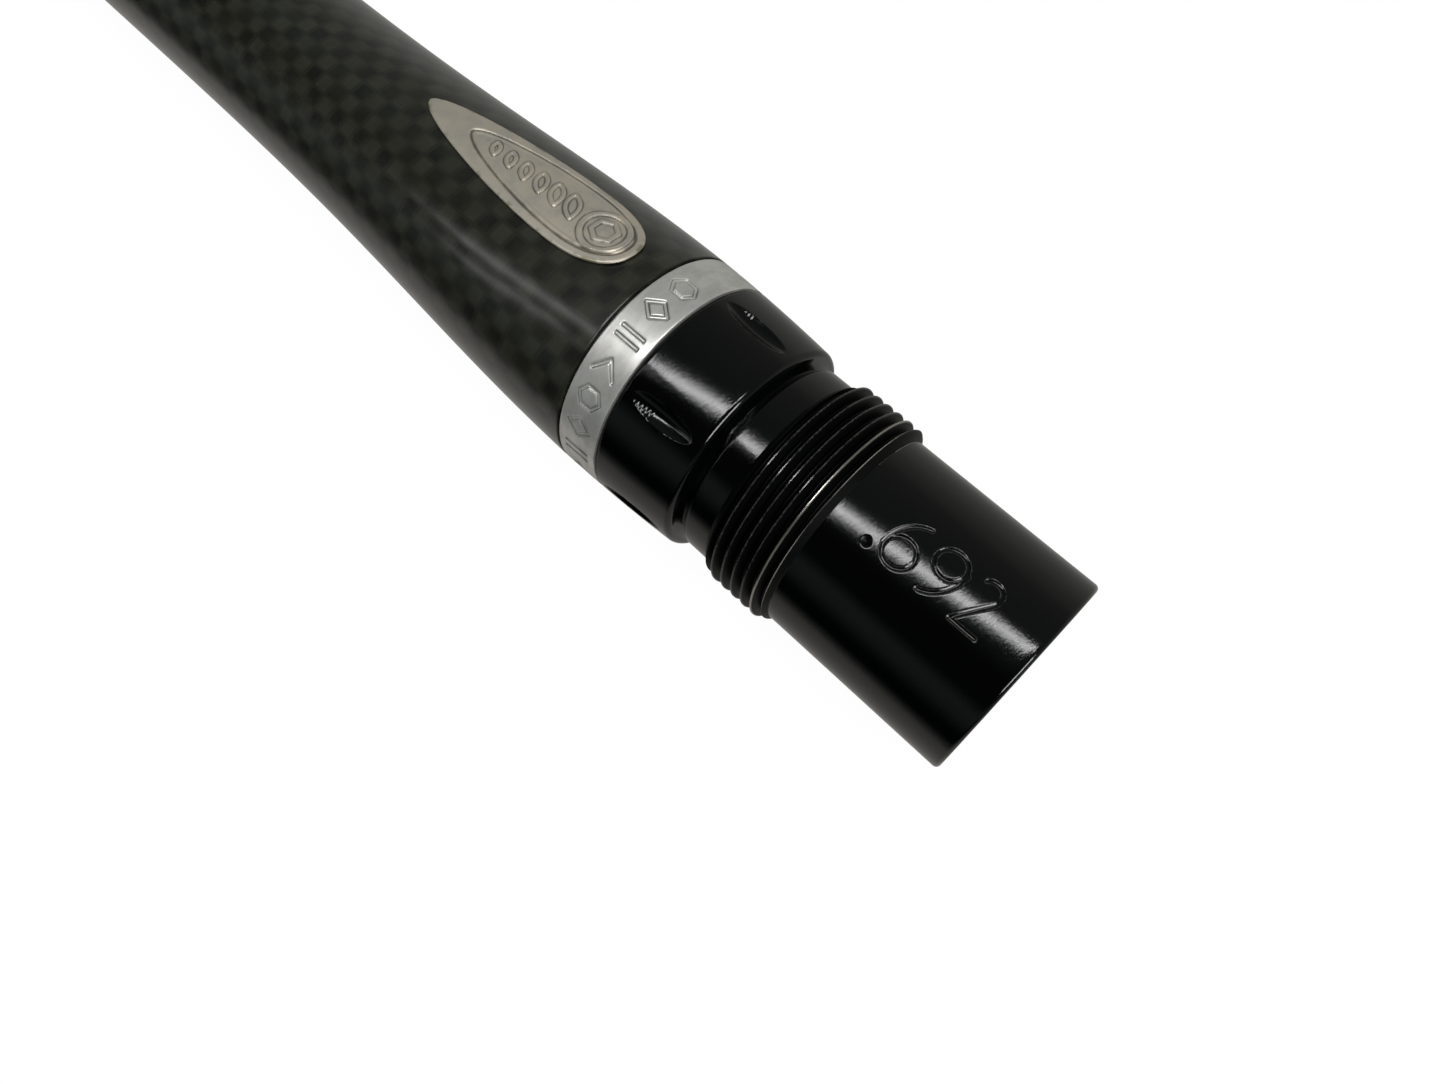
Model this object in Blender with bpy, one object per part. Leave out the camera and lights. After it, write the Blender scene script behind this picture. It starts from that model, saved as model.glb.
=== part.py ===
"""Two-piece barrel for a paintball marker: an anodised back that screws out of a carbon-fibre front.

The barrel lies along X, with +X towards the muzzle. The origin is on the bore's axis, in the plane of
the shoulder that seats on the marker. +Z points through the middle of the badge.
"""

from math import cos, exp, pi, sin, tan

import bmesh
import bpy
from mathutils import Matrix, Vector

MM = 0.001
INCH = 25.4 * MM

# Whole barrel
SEGMENTS = 36
OVERALL_LENGTH = 14 * INCH
BREECH_X = -33.0 * MM
MUZZLE_X = BREECH_X + OVERALL_LENGTH
JOINT_GAP = 0.3 * MM
GLUE_GAP = 0.1 * MM

# Both threads: 20 to the inch, 60 degrees, right-handed
PITCH = INCH / 20
FLANK = tan(pi / 6)
CREST_FLAT = PITCH / 8
THREAD_DEPTH = 0.70 * MM
THREAD_SINK = 0.15 * MM
THREAD_STEPS = 24
RUN_OUT_STEPS = 12

# Back: nose and marker thread
BORE_RADIUS = 0.692 / 2 * INCH
NOSE_RADIUS = 10.945 * MM
NOSE_EDGE = 0.5 * MM
NECK_RADIUS = 10.92 * MM
MARKER_THREAD_RADIUS = 11.875 * MM
LEAD_IN_START = -12.25 * MM
MARKER_THREAD_START = -11.33 * MM
MARKER_THREAD_TURNS = 5.0
MARKER_THREAD_ANGLE = 90.0
NECK_START = -4.0 * MM
RELIEF_RADIUS = 10.35 * MM
RELIEF_WIDTH = 1.0 * MM
SEAT_INNER_RADIUS = 10.95 * MM

# Back: grip collar, on one long arc that ends at the fattest ring of the barrel
GRIP_PEAK_RADIUS = 12.69 * MM
GRIP_PEAK_X = 16.5 * MM
GRIP_CURVATURE = 2.58
COLLAR_END = 9.45 * MM
COLLAR_EDGE = 0.25 * MM
DIMPLE_COUNT = 6
DIMPLE_X = 5.0 * MM
DIMPLE_DEPTH = 0.6 * MM
DIMPLE_HALF_LENGTH = 3.7 * MM
DIMPLE_HALF_WIDTH = 1.13 * MM
DIMPLE_FIRST_ANGLE = 13.0

# Back: pilot land, joint thread and control-bore tube
PILOT_RADIUS = 11.15 * MM
JOINT_THREAD_RADIUS = 11.1 * MM
JOINT_THREAD_START = 16.4 * MM
JOINT_THREAD_TURNS = 5.5
JOINT_THREAD_ANGLE = 0.0
JOINT_THREAD_END = 24.1 * MM
TUBE_RADIUS = 9.7 * MM
TUBE_END = 47.0 * MM
TUBE_EDGE = 0.3 * MM

# O-rings: the thickness and the middle of each
PILOT_RING_X = 12.5 * MM
PILOT_RING_THICKNESS = 1.0 * MM
PILOT_RING_MEAN_RADIUS = 10.85 * MM
PILOT_GROOVE_RADIUS = 10.2 * MM
TIP_RING_X = 34.0 * MM
TIP_RING_THICKNESS = 0.8 * MM
TIP_RING_MEAN_RADIUS = 10.25 * MM
TIP_GLAND_RADIUS = 10.75 * MM
GROOVE_SPARE = 0.45 * MM

# Front: threaded insert
INSERT_START = COLLAR_END + JOINT_GAP
INSERT_RADIUS = 11.85 * MM
INSERT_TAIL_RADIUS = 11.3 * MM
INSERT_TAPER_START = 25.0 * MM
INSERT_TAPER_END = 29.0 * MM
INSERT_END = 37.5 * MM
INSERT_MOUTH_RADIUS = 11.45 * MM
INSERT_BORE_RADIUS = 9.95 * MM
NUT_RADIAL_CLEARANCE = 0.17 * MM
NUT_SIDE_CLEARANCE = 0.08 * MM

# Front: accent band, carbon shell and muzzle ring
BAND_END = 14.65 * MM
BAND_CHAMFER = 0.15 * MM
SHELL_START = BAND_END + JOINT_GAP
SHELL_PEAK_X = 15.0 * MM
SHELL_TUBE_RADIUS = 10.12 * MM
SHELL_FLARE_LENGTH = 34.8 * MM
SHELL_FLARE_END = 90.0 * MM
FLARE_STEPS = 12
SHELL_BORE_RADIUS = 8.95 * MM
SHELL_END = MUZZLE_X - 1.6 * MM
MUZZLE_RING_RADIUS = 10.75 * MM
MUZZLE_RING_LENGTH = 10.0 * MM
MUZZLE_LIP = 1.3 * MM
MUZZLE_MOUTH_RADIUS = 9.15 * MM
MUZZLE_CHAMFER = 0.4 * MM

# Front: vent ports
PORT_RADIUS = 1.6 * MM
PORT_ROWS = 4
PORTS_PER_ROW = 6
PORT_SPACING = 16.0 * MM
FIRST_PORT_X = 205.0 * MM
PORT_ROW_ANGLE = 45.0

# Badge: a blunt drop, with its round end towards the band
BADGE_START = 18.4 * MM
BADGE_LENGTH = 30.3 * MM
BADGE_WIDEST = 8.6 * MM
BADGE_HALF_WIDTH = 4.45 * MM
BADGE_BLUNTNESS = 2.3
BADGE_TIP_POWER = 0.80
BADGE_STATIONS = 18
BADGE_COLUMNS = 8
BADGE_THICKNESS = 0.32 * MM
ADHESIVE_THICKNESS = 0.12 * MM
ADHESIVE_INSET = 0.35 * MM
BADGE_GAP = 0.06 * MM


def clear_scene():
    for old in list(bpy.data.objects):
        bpy.data.objects.remove(old, do_unlink=True)


def material(name, colour, roughness, metallic):
    made = bpy.data.materials.new(name)
    made.use_nodes = True
    shader = made.node_tree.nodes["Principled BSDF"]
    shader.inputs["Base Color"].default_value = (*colour, 1.0)
    shader.inputs["Roughness"].default_value = roughness
    shader.inputs["Metallic"].default_value = metallic
    return made


def polar(x, radius, angle):
    """The point at this place along the axis, with the angle counted from +Z, right-handed about +X."""
    return Vector((x, -radius * sin(angle), radius * cos(angle)))


def add_object(name, mesh_builder, finish, smooth=True):
    mesh = bpy.data.meshes.new(name)
    bmesh.ops.recalc_face_normals(mesh_builder, faces=mesh_builder.faces)
    mesh_builder.to_mesh(mesh)
    mesh_builder.free()
    if finish:
        mesh.materials.append(finish)
    if smooth:
        mesh.shade_smooth()
        mesh.set_sharp_from_angle(angle=pi / 6)
    made = bpy.data.objects.new(name, mesh)
    bpy.context.scene.collection.objects.link(made)
    return made


def bridge(builder, first, second):
    count = len(first)
    for i in range(count):
        following = (i + 1) % count
        builder.faces.new((first[i], first[following], second[following], second[i]))


def turned(name, outline, finish, segments=SEGMENTS):
    """A ring-shaped body: the closed outline of (x, radius) points, turned about the X axis."""
    builder = bmesh.new()
    rings = []
    for step in range(segments):
        angle = 2 * pi * step / segments
        rings.append([builder.verts.new(polar(x, radius, angle)) for x, radius in outline])
    for step in range(segments):
        bridge(builder, rings[step], rings[(step + 1) % segments])
    return add_object(name, builder, finish)


def arc(centre_x, centre_radius, radius, start_degrees, end_degrees, steps):
    """Points of a rounded corner, as (x, radius) pairs, angles counted from +X towards the outside."""
    points = []
    for step in range(steps + 1):
        angle = (start_degrees + (end_degrees - start_degrees) * step / steps) * pi / 180
        points.append((centre_x + radius * cos(angle), centre_radius + radius * sin(angle)))
    return points


def helper(made):
    made.hide_render = True
    made.display_type = "WIRE"
    return made


def boolean(target, tool, operation):
    step = target.modifiers.new(operation.lower() + " " + tool.name, "BOOLEAN")
    step.operation = operation
    step.object = helper(tool)


def thread_coil(name, start, start_angle, turns, root_radius, crest_radius, widen=0.0):
    """A coil of thread section, sunk below its root at both ends. Its flanks are 30 degrees off square."""
    builder = bmesh.new()
    steps = round(turns * THREAD_STEPS)
    half_crest = CREST_FLAT / 2 + widen
    base_radius = root_radius - THREAD_SINK
    half_base = half_crest + (crest_radius - base_radius) * FLANK
    previous = None
    for step in range(steps + 1):
        run_out = min(step, steps - step, RUN_OUT_STEPS) / RUN_OUT_STEPS
        top = base_radius + (crest_radius - base_radius) * (0.15 + 0.85 * run_out)
        half_top = half_base - (top - base_radius) * FLANK
        angle = start_angle * pi / 180 + 2 * pi * (step + 0.5) / THREAD_STEPS
        middle = start + PITCH * step / THREAD_STEPS
        section = (
            (middle - half_base, base_radius),
            (middle - half_top, top),
            (middle + half_top, top),
            (middle + half_base, base_radius),
        )
        ring = [builder.verts.new(polar(x, radius, angle)) for x, radius in section]
        if previous:
            bridge(builder, previous, ring)
        else:
            builder.faces.new(ring)
        previous = ring
    builder.faces.new(reversed(previous))
    return add_object(name, builder, None, smooth=False)


def grip_radius(x):
    """Outer radius of the collar and of the band, which share one arc."""
    return GRIP_PEAK_RADIUS - GRIP_CURVATURE * (x - GRIP_PEAK_X) ** 2


def shell_radius(x):
    """Outer radius of the carbon shell: a bell-shaped flare that runs out into a straight tube."""
    flare = GRIP_PEAK_RADIUS - SHELL_TUBE_RADIUS
    return SHELL_TUBE_RADIUS + flare * exp(-(((x - SHELL_PEAK_X) / SHELL_FLARE_LENGTH) ** 2))


def spread(start, end, count):
    return [start + (end - start) * step / count for step in range(count + 1)]


def make_dimple_wheel():
    """Six wheels with a V-shaped rim, each of which cuts one pointed grip dimple into the collar."""
    wheel_radius = (DIMPLE_HALF_LENGTH**2 + DIMPLE_DEPTH**2) / (2 * DIMPLE_DEPTH)
    rim_depth = 3 * DIMPLE_DEPTH
    half_thickness = rim_depth * DIMPLE_HALF_WIDTH / DIMPLE_DEPTH
    builder = bmesh.new()
    centre_radius = grip_radius(DIMPLE_X) - DIMPLE_DEPTH + wheel_radius
    rim_steps = 40
    for index in range(DIMPLE_COUNT):
        angle = (DIMPLE_FIRST_ANGLE + 360 / DIMPLE_COUNT * index) * pi / 180
        rings = []
        for step in range(rim_steps):
            turn = 2 * pi * (step + 0.5) / rim_steps
            ring = []
            for out, side in (
                (wheel_radius, 0),
                (wheel_radius - rim_depth, half_thickness),
                (wheel_radius / 2, half_thickness),
                (wheel_radius / 2, -half_thickness),
                (wheel_radius - rim_depth, -half_thickness),
            ):
                local = Vector((DIMPLE_X + out * sin(turn), side, centre_radius - out * cos(turn)))
                ring.append(builder.verts.new(Matrix.Rotation(angle, 3, "X") @ local))
            rings.append(ring)
        for step in range(rim_steps):
            bridge(builder, rings[step], rings[(step + 1) % rim_steps])
    return add_object("dimple_wheels", builder, None, smooth=False)


def make_barrel_back(finish):
    marker_root = MARKER_THREAD_RADIUS - THREAD_DEPTH
    joint_root = JOINT_THREAD_RADIUS - THREAD_DEPTH
    groove_half = PILOT_RING_THICKNESS / 2 + GROOVE_SPARE
    lead_in = marker_root - NOSE_RADIUS
    outline = [(BREECH_X + NOSE_EDGE, BORE_RADIUS), (BREECH_X, BORE_RADIUS + NOSE_EDGE)]
    outline += arc(BREECH_X + NOSE_EDGE, NOSE_RADIUS - NOSE_EDGE, NOSE_EDGE, 180, 90, 3)
    outline += [
        (LEAD_IN_START, NOSE_RADIUS),
        (LEAD_IN_START + lead_in, marker_root),
        (NECK_START - (marker_root - NECK_RADIUS), marker_root),
        (NECK_START, NECK_RADIUS),
        (-RELIEF_WIDTH - COLLAR_EDGE / 2, NECK_RADIUS),
        (-RELIEF_WIDTH, NECK_RADIUS - COLLAR_EDGE / 2),
        (-RELIEF_WIDTH, RELIEF_RADIUS),
        (RELIEF_RADIUS - SEAT_INNER_RADIUS + COLLAR_EDGE, RELIEF_RADIUS),
        (0, SEAT_INNER_RADIUS),
    ]
    edge_centre = grip_radius(COLLAR_EDGE) - COLLAR_EDGE
    outline += arc(COLLAR_EDGE, edge_centre, COLLAR_EDGE, 180, 90, 2)
    outline += [(x, grip_radius(x)) for x in spread(COLLAR_EDGE, COLLAR_END - BAND_CHAMFER, 5)[1:]]
    outline += [
        (COLLAR_END, grip_radius(COLLAR_END) - BAND_CHAMFER),
        (COLLAR_END, PILOT_RADIUS),
        (PILOT_RING_X - groove_half, PILOT_RADIUS),
        (PILOT_RING_X - groove_half, PILOT_GROOVE_RADIUS),
        (PILOT_RING_X + groove_half, PILOT_GROOVE_RADIUS),
        (PILOT_RING_X + groove_half, PILOT_RADIUS),
        (JOINT_THREAD_START - PITCH, PILOT_RADIUS),
        (JOINT_THREAD_START - PITCH / 2, joint_root),
        (JOINT_THREAD_END, joint_root),
        (JOINT_THREAD_END + (joint_root - TUBE_RADIUS), TUBE_RADIUS),
        (TUBE_END - TUBE_EDGE, TUBE_RADIUS),
        (TUBE_END, TUBE_RADIUS - TUBE_EDGE),
        (TUBE_END, BORE_RADIUS + TUBE_EDGE),
        (TUBE_END - TUBE_EDGE, BORE_RADIUS),
    ]
    back = turned("barrel_back", outline, finish)
    marker_coil = thread_coil(
        "marker_thread_coil",
        MARKER_THREAD_START,
        MARKER_THREAD_ANGLE,
        MARKER_THREAD_TURNS,
        marker_root,
        MARKER_THREAD_RADIUS,
    )
    joint_coil = thread_coil(
        "joint_thread_coil",
        JOINT_THREAD_START,
        JOINT_THREAD_ANGLE,
        JOINT_THREAD_TURNS,
        joint_root,
        JOINT_THREAD_RADIUS,
    )
    boolean(back, marker_coil, "UNION")
    boolean(back, joint_coil, "UNION")
    boolean(back, make_dimple_wheel(), "DIFFERENCE")
    return back


def make_o_ring(name, x, mean_radius, thickness, finish):
    outline = arc(x, mean_radius, thickness / 2, 0, 360, 8)[:-1]
    return turned(name, outline, finish)


def make_thread_insert(finish):
    joint_root = JOINT_THREAD_RADIUS - THREAD_DEPTH
    crest = joint_root + NUT_RADIAL_CLEARANCE
    gland_half = TIP_RING_THICKNESS / 2 + GROOVE_SPARE
    outline = [
        (INSERT_START, INSERT_MOUTH_RADIUS),
        (INSERT_START, INSERT_RADIUS),
        (INSERT_TAPER_START, INSERT_RADIUS),
        (INSERT_TAPER_END, INSERT_TAIL_RADIUS),
        (INSERT_END, INSERT_TAIL_RADIUS),
        (INSERT_END, INSERT_BORE_RADIUS),
        (TIP_RING_X + gland_half, INSERT_BORE_RADIUS),
        (TIP_RING_X + gland_half, TIP_GLAND_RADIUS),
        (TIP_RING_X - gland_half, TIP_GLAND_RADIUS),
        (TIP_RING_X - gland_half, INSERT_BORE_RADIUS),
        (INSERT_TAPER_END - PITCH, INSERT_BORE_RADIUS),
        (INSERT_TAPER_START + PITCH / 2, crest),
        (JOINT_THREAD_START, crest),
        (JOINT_THREAD_START - (INSERT_MOUTH_RADIUS - crest), INSERT_MOUTH_RADIUS),
    ]
    insert = turned("thread_insert", outline, finish)
    nut_coil = thread_coil(
        "nut_thread_coil",
        JOINT_THREAD_START - PITCH,
        JOINT_THREAD_ANGLE,
        JOINT_THREAD_TURNS + 2,
        crest,
        JOINT_THREAD_RADIUS + NUT_RADIAL_CLEARANCE,
        widen=NUT_SIDE_CLEARANCE,
    )
    boolean(insert, nut_coil, "DIFFERENCE")
    return insert


def make_accent_band(finish):
    start = COLLAR_END + JOINT_GAP
    inner = INSERT_RADIUS + GLUE_GAP
    outline = [
        (start, inner),
        (start, grip_radius(start) - BAND_CHAMFER),
        (start + BAND_CHAMFER, grip_radius(start + BAND_CHAMFER)),
        ((start + BAND_END) / 2, grip_radius((start + BAND_END) / 2)),
        (BAND_END - BAND_CHAMFER, grip_radius(BAND_END - BAND_CHAMFER)),
        (BAND_END, grip_radius(BAND_END) - BAND_CHAMFER),
        (BAND_END, inner),
    ]
    return turned("accent_band", outline, finish)


def make_port_cutters():
    """Round pins, one through each vent port, in rows along the tube with every other row set forward."""
    builder = bmesh.new()
    for row in range(PORT_ROWS):
        turn = (PORT_ROW_ANGLE + 360 / PORT_ROWS * row) * pi / 180
        for place in range(PORTS_PER_ROW):
            x = FIRST_PORT_X + PORT_SPACING * (place + (row % 2) / 2)
            seat = Matrix.Rotation(turn, 4, "X") @ Matrix.Translation((x, 0, SHELL_TUBE_RADIUS - MM))
            bmesh.ops.create_cone(
                builder,
                cap_ends=True,
                segments=12,
                radius1=PORT_RADIUS,
                radius2=PORT_RADIUS,
                depth=5 * MM,
                matrix=seat,
            )
    return add_object("port_pins", builder, None, smooth=False)


def make_carbon_shell(finish):
    socket = INSERT_RADIUS + GLUE_GAP
    tail_socket = INSERT_TAIL_RADIUS + GLUE_GAP
    tube_socket = TUBE_RADIUS + JOINT_GAP
    step_down = TUBE_END + JOINT_GAP
    outline = [(x, shell_radius(x)) for x in spread(SHELL_START, SHELL_FLARE_END, FLARE_STEPS)]
    outline += [
        (SHELL_END, SHELL_TUBE_RADIUS),
        (SHELL_END, SHELL_BORE_RADIUS),
        (step_down + (tube_socket - SHELL_BORE_RADIUS), SHELL_BORE_RADIUS),
        (step_down, tube_socket),
        (INSERT_END + JOINT_GAP, tube_socket),
        (INSERT_END + JOINT_GAP, tail_socket),
        (INSERT_TAPER_END, tail_socket),
        (INSERT_TAPER_START, socket),
        (SHELL_START, socket),
    ]
    shell = turned("carbon_shell", outline, finish)
    boolean(shell, make_port_cutters(), "DIFFERENCE")
    return shell


def make_muzzle_ring(finish):
    start = MUZZLE_X - MUZZLE_RING_LENGTH
    lip = MUZZLE_X - MUZZLE_LIP
    skirt = SHELL_TUBE_RADIUS + GLUE_GAP
    outline = [
        (start, skirt),
        (start, MUZZLE_RING_RADIUS - MUZZLE_CHAMFER / 2),
        (start + MUZZLE_CHAMFER / 2, MUZZLE_RING_RADIUS),
        (MUZZLE_X - MUZZLE_CHAMFER, MUZZLE_RING_RADIUS),
        (MUZZLE_X, MUZZLE_RING_RADIUS - MUZZLE_CHAMFER),
        (MUZZLE_X, MUZZLE_MOUTH_RADIUS + MUZZLE_CHAMFER),
        (MUZZLE_X - MUZZLE_CHAMFER, MUZZLE_MOUTH_RADIUS),
        (lip, MUZZLE_MOUTH_RADIUS),
        (lip, skirt),
    ]
    return turned("muzzle_ring", outline, finish)


def badge_half_width(along):
    """Half the badge's width, measured round the barrel, at this distance from its round end."""
    if along <= BADGE_WIDEST:
        short = 1 - along / BADGE_WIDEST
        return BADGE_HALF_WIDTH * (1 - short**BADGE_BLUNTNESS) ** (1 / BADGE_BLUNTNESS)
    toward_tip = (along - BADGE_WIDEST) / (BADGE_LENGTH - BADGE_WIDEST)
    return BADGE_HALF_WIDTH * (1 - toward_tip**2) ** BADGE_TIP_POWER


def bent_plate(name, inset, lift, thickness, finish):
    """A drop-shaped plate bent to the shell, with its inner face lifted by this much off the shell."""
    builder = bmesh.new()
    faces = {}
    for side, height in (("under", lift), ("over", lift + thickness)):
        rows = []
        for station in range(BADGE_STATIONS + 1):
            eased = (1 - cos(pi * station / BADGE_STATIONS)) / 2
            along = inset + (BADGE_LENGTH - 2 * inset) * eased
            x = BADGE_START + along
            radius = shell_radius(x) + height
            half = max(badge_half_width(along) - inset, 0) if 0 < station < BADGE_STATIONS else 0
            if half:
                angles = spread(-half / radius, half / radius, BADGE_COLUMNS)
            else:
                angles = [0.0]
            rows.append([builder.verts.new(polar(x, radius, angle)) for angle in angles])
        faces[side] = rows
    for rows in faces.values():
        for near, far in zip(rows, rows[1:]):
            if len(near) == 1 or len(far) == 1:
                point, line = (near[0], far) if len(near) == 1 else (far[0], near)
                for a, b in zip(line, line[1:]):
                    builder.faces.new((point, a, b))
            else:
                for i in range(BADGE_COLUMNS):
                    builder.faces.new((near[i], near[i + 1], far[i + 1], far[i]))
    under = [row[0] for row in faces["under"]] + [row[-1] for row in reversed(faces["under"][1:-1])]
    over = [row[0] for row in faces["over"]] + [row[-1] for row in reversed(faces["over"][1:-1])]
    bridge(builder, under, over)
    return add_object(name, builder, finish)


def main():
    clear_scene()
    anodised = material("black_anodised", (0.012, 0.014, 0.015), 0.28, 0.6)
    bare = material("bare_aluminium", (0.55, 0.55, 0.54), 0.32, 1.0)
    polished = material("polished_aluminium", (0.72, 0.72, 0.70), 0.22, 1.0)
    carbon = material("carbon_fibre", (0.028, 0.028, 0.026), 0.22, 0.0)
    muzzle = material("muzzle_anodised", (0.014, 0.015, 0.016), 0.30, 0.6)
    nickel = material("nickel_badge", (0.50, 0.46, 0.41), 0.38, 1.0)
    tape = material("adhesive_film", (0.10, 0.09, 0.06), 0.80, 0.0)
    rubber = material("nitrile_rubber", (0.015, 0.015, 0.015), 0.65, 0.0)
    make_barrel_back(anodised)
    make_o_ring("pilot_o_ring", PILOT_RING_X, PILOT_RING_MEAN_RADIUS, PILOT_RING_THICKNESS, rubber)
    make_o_ring("tip_o_ring", TIP_RING_X, TIP_RING_MEAN_RADIUS, TIP_RING_THICKNESS, rubber)
    make_thread_insert(bare)
    make_accent_band(polished)
    make_carbon_shell(carbon)
    make_muzzle_ring(muzzle)
    bent_plate("badge_adhesive", ADHESIVE_INSET, BADGE_GAP, ADHESIVE_THICKNESS, tape)
    bent_plate("badge_plate", 0, 2 * BADGE_GAP + ADHESIVE_THICKNESS, BADGE_THICKNESS, nickel)


main()
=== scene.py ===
"""Looks of the two-piece marker barrel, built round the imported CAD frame.

Lengths are in metres. The barrel lies along X with the muzzle at +X, and angles round it are counted
from +Z, right-handed about +X. Each CAD node is replaced by a fine mesh of the same size, with the
engraving, stamping, relief, edge breaks and full threads that the plain solids leave out.
"""

from math import cos, pi, radians, sin, tan

import bpy
import numpy as np
from mathutils import Matrix, Vector


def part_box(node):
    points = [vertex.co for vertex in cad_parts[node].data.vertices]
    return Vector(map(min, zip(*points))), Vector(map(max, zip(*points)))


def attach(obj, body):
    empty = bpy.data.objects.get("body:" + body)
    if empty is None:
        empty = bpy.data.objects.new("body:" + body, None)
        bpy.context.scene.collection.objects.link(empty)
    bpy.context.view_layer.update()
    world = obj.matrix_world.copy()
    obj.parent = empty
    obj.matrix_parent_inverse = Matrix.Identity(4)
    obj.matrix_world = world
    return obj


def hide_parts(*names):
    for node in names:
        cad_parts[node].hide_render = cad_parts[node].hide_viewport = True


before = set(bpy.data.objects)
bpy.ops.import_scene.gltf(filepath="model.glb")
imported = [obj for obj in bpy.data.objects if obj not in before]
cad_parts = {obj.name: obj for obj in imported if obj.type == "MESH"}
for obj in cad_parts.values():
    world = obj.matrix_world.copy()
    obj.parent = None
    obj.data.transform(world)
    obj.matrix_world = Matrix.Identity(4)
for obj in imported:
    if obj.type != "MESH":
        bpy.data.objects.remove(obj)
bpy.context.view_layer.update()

MM = 0.001


def box_x(node):
    """Where the CAD node starts and ends along the barrel."""
    low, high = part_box(node)
    return low[0], high[0]


# Places taken from the frame
BREECH_X, TUBE_END = box_x("barrel_back")
BAND_START, BAND_END = box_x("accent_band")
INSERT_START, INSERT_END = box_x("thread_insert")
SHELL_START, SHELL_END = box_x("carbon_shell")
MUZZLE_RING_START, MUZZLE_X = box_x("muzzle_ring")
BADGE_START, BADGE_END = box_x("badge_plate")
PILOT_RING_X = sum(box_x("pilot_o_ring")) / 2
TIP_RING_X = sum(box_x("tip_o_ring")) / 2

# Both threads: 20 to the inch, 60 degrees, right-handed
PITCH = 25.4 * MM / 20
THREAD_DEPTH = 0.70 * MM
MARKER_THREAD_DEPTH = 0.93 * MM
FLANK = tan(pi / 6)
CREST_HALF = PITCH / 16
MARKER_CREST_HALF = 0.05 * MM

# Back: nose and marker thread
BORE_RADIUS = 8.788 * MM
NOSE_RADIUS = 10.945 * MM
NOSE_EDGE = 0.5 * MM
NECK_RADIUS = 10.92 * MM
MARKER_THREAD_RADIUS = 11.875 * MM
MARKER_CREST_X = -10.40 * MM
LEAD_IN_START = -12.3 * MM
NECK_START = -4.0 * MM
RELIEF_RADIUS = 10.35 * MM
RELIEF_WIDTH = 1.0 * MM
RELIEF_SLOPE_END = -0.35 * MM
RELIEF_ROUNDING = 0.25 * MM
RELIEF_FILLET = 0.1 * MM
SEAT_INNER_RADIUS = 10.95 * MM

# Back: grip collar and dimples
GRIP_PEAK_RADIUS = 12.69 * MM
GRIP_PEAK_X = 16.5 * MM
GRIP_CURVATURE = 2.58
COLLAR_END = BAND_START - 0.3 * MM
COLLAR_ROUNDING = 0.65 * MM
BAND_CHAMFER = 0.15 * MM
DIMPLE_COUNT = 6
DIMPLE_X = 5.0 * MM
DIMPLE_DEPTH = 0.6 * MM
DIMPLE_HALF_LENGTH = 3.7 * MM
DIMPLE_HALF_WIDTH = 1.13 * MM
DIMPLE_FIRST_ANGLE = 13.0
CHATTER_START = 6.0 * MM
CHATTER_DEPTH = 0.02 * MM
CHATTER_PITCH = 0.42 * MM

# Back: pilot land, joint thread and control-bore tube
PILOT_RADIUS = 11.15 * MM
PILOT_GROOVE_RADIUS = 10.2 * MM
PILOT_GROOVE_HALF = 0.95 * MM
JOINT_THREAD_RADIUS = 11.1 * MM
JOINT_ROOT = JOINT_THREAD_RADIUS - THREAD_DEPTH
JOINT_THREAD_START = 16.4 * MM
JOINT_CREST_X = JOINT_THREAD_START - PITCH / 48
JOINT_CREST_END = 23.2 * MM
JOINT_THREAD_END = 24.1 * MM
TUBE_RADIUS = 9.7 * MM
TUBE_EDGE = 0.3 * MM

# O-rings
PILOT_RING_RADIUS = 10.85 * MM
PILOT_RING_THICKNESS = 1.0 * MM
TIP_RING_RADIUS = 10.25 * MM
TIP_RING_THICKNESS = 0.8 * MM

# Insert
INSERT_RADIUS = 11.85 * MM
INSERT_TAIL_RADIUS = 11.3 * MM
INSERT_TAPER_START = 25.0 * MM
INSERT_TAPER_END = 29.0 * MM
INSERT_MOUTH_RADIUS = 11.45 * MM
INSERT_BORE_RADIUS = 9.95 * MM
TIP_GLAND_RADIUS = 10.75 * MM
TIP_GLAND_HALF = 0.85 * MM
NUT_RADIAL_CLEARANCE = 0.17 * MM
NUT_SIDE_CLEARANCE = 0.08 * MM
NUT_MINOR_RADIUS = JOINT_ROOT + NUT_RADIAL_CLEARANCE
NUT_GROOVE_END = 24.4 * MM

# Carbon shell, muzzle ring and ports
SHELL_PEAK_X = 15.0 * MM
SHELL_TUBE_RADIUS = 10.12 * MM
SHELL_FLARE = GRIP_PEAK_RADIUS - SHELL_TUBE_RADIUS
SHELL_FLARE_LENGTH = 34.8 * MM
SHELL_FLARE_END = 110.0 * MM
SHELL_BORE_RADIUS = 8.95 * MM
GLUE_GAP = 0.1 * MM
JOINT_GAP = 0.3 * MM
MUZZLE_RING_RADIUS = 10.75 * MM
MUZZLE_LIP = 1.3 * MM
MUZZLE_MOUTH_RADIUS = 9.15 * MM
MUZZLE_CHAMFER = 0.4 * MM
PORT_RADIUS = 1.6 * MM
PORT_EDGE = 0.12 * MM
PORT_SIDES = 32
PORT_ROWS = 4
PORTS_PER_ROW = 6
PORT_SPACING = 16.0 * MM
FIRST_PORT_X = 205.0 * MM
PORT_ROW_ANGLE = 45.0

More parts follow.
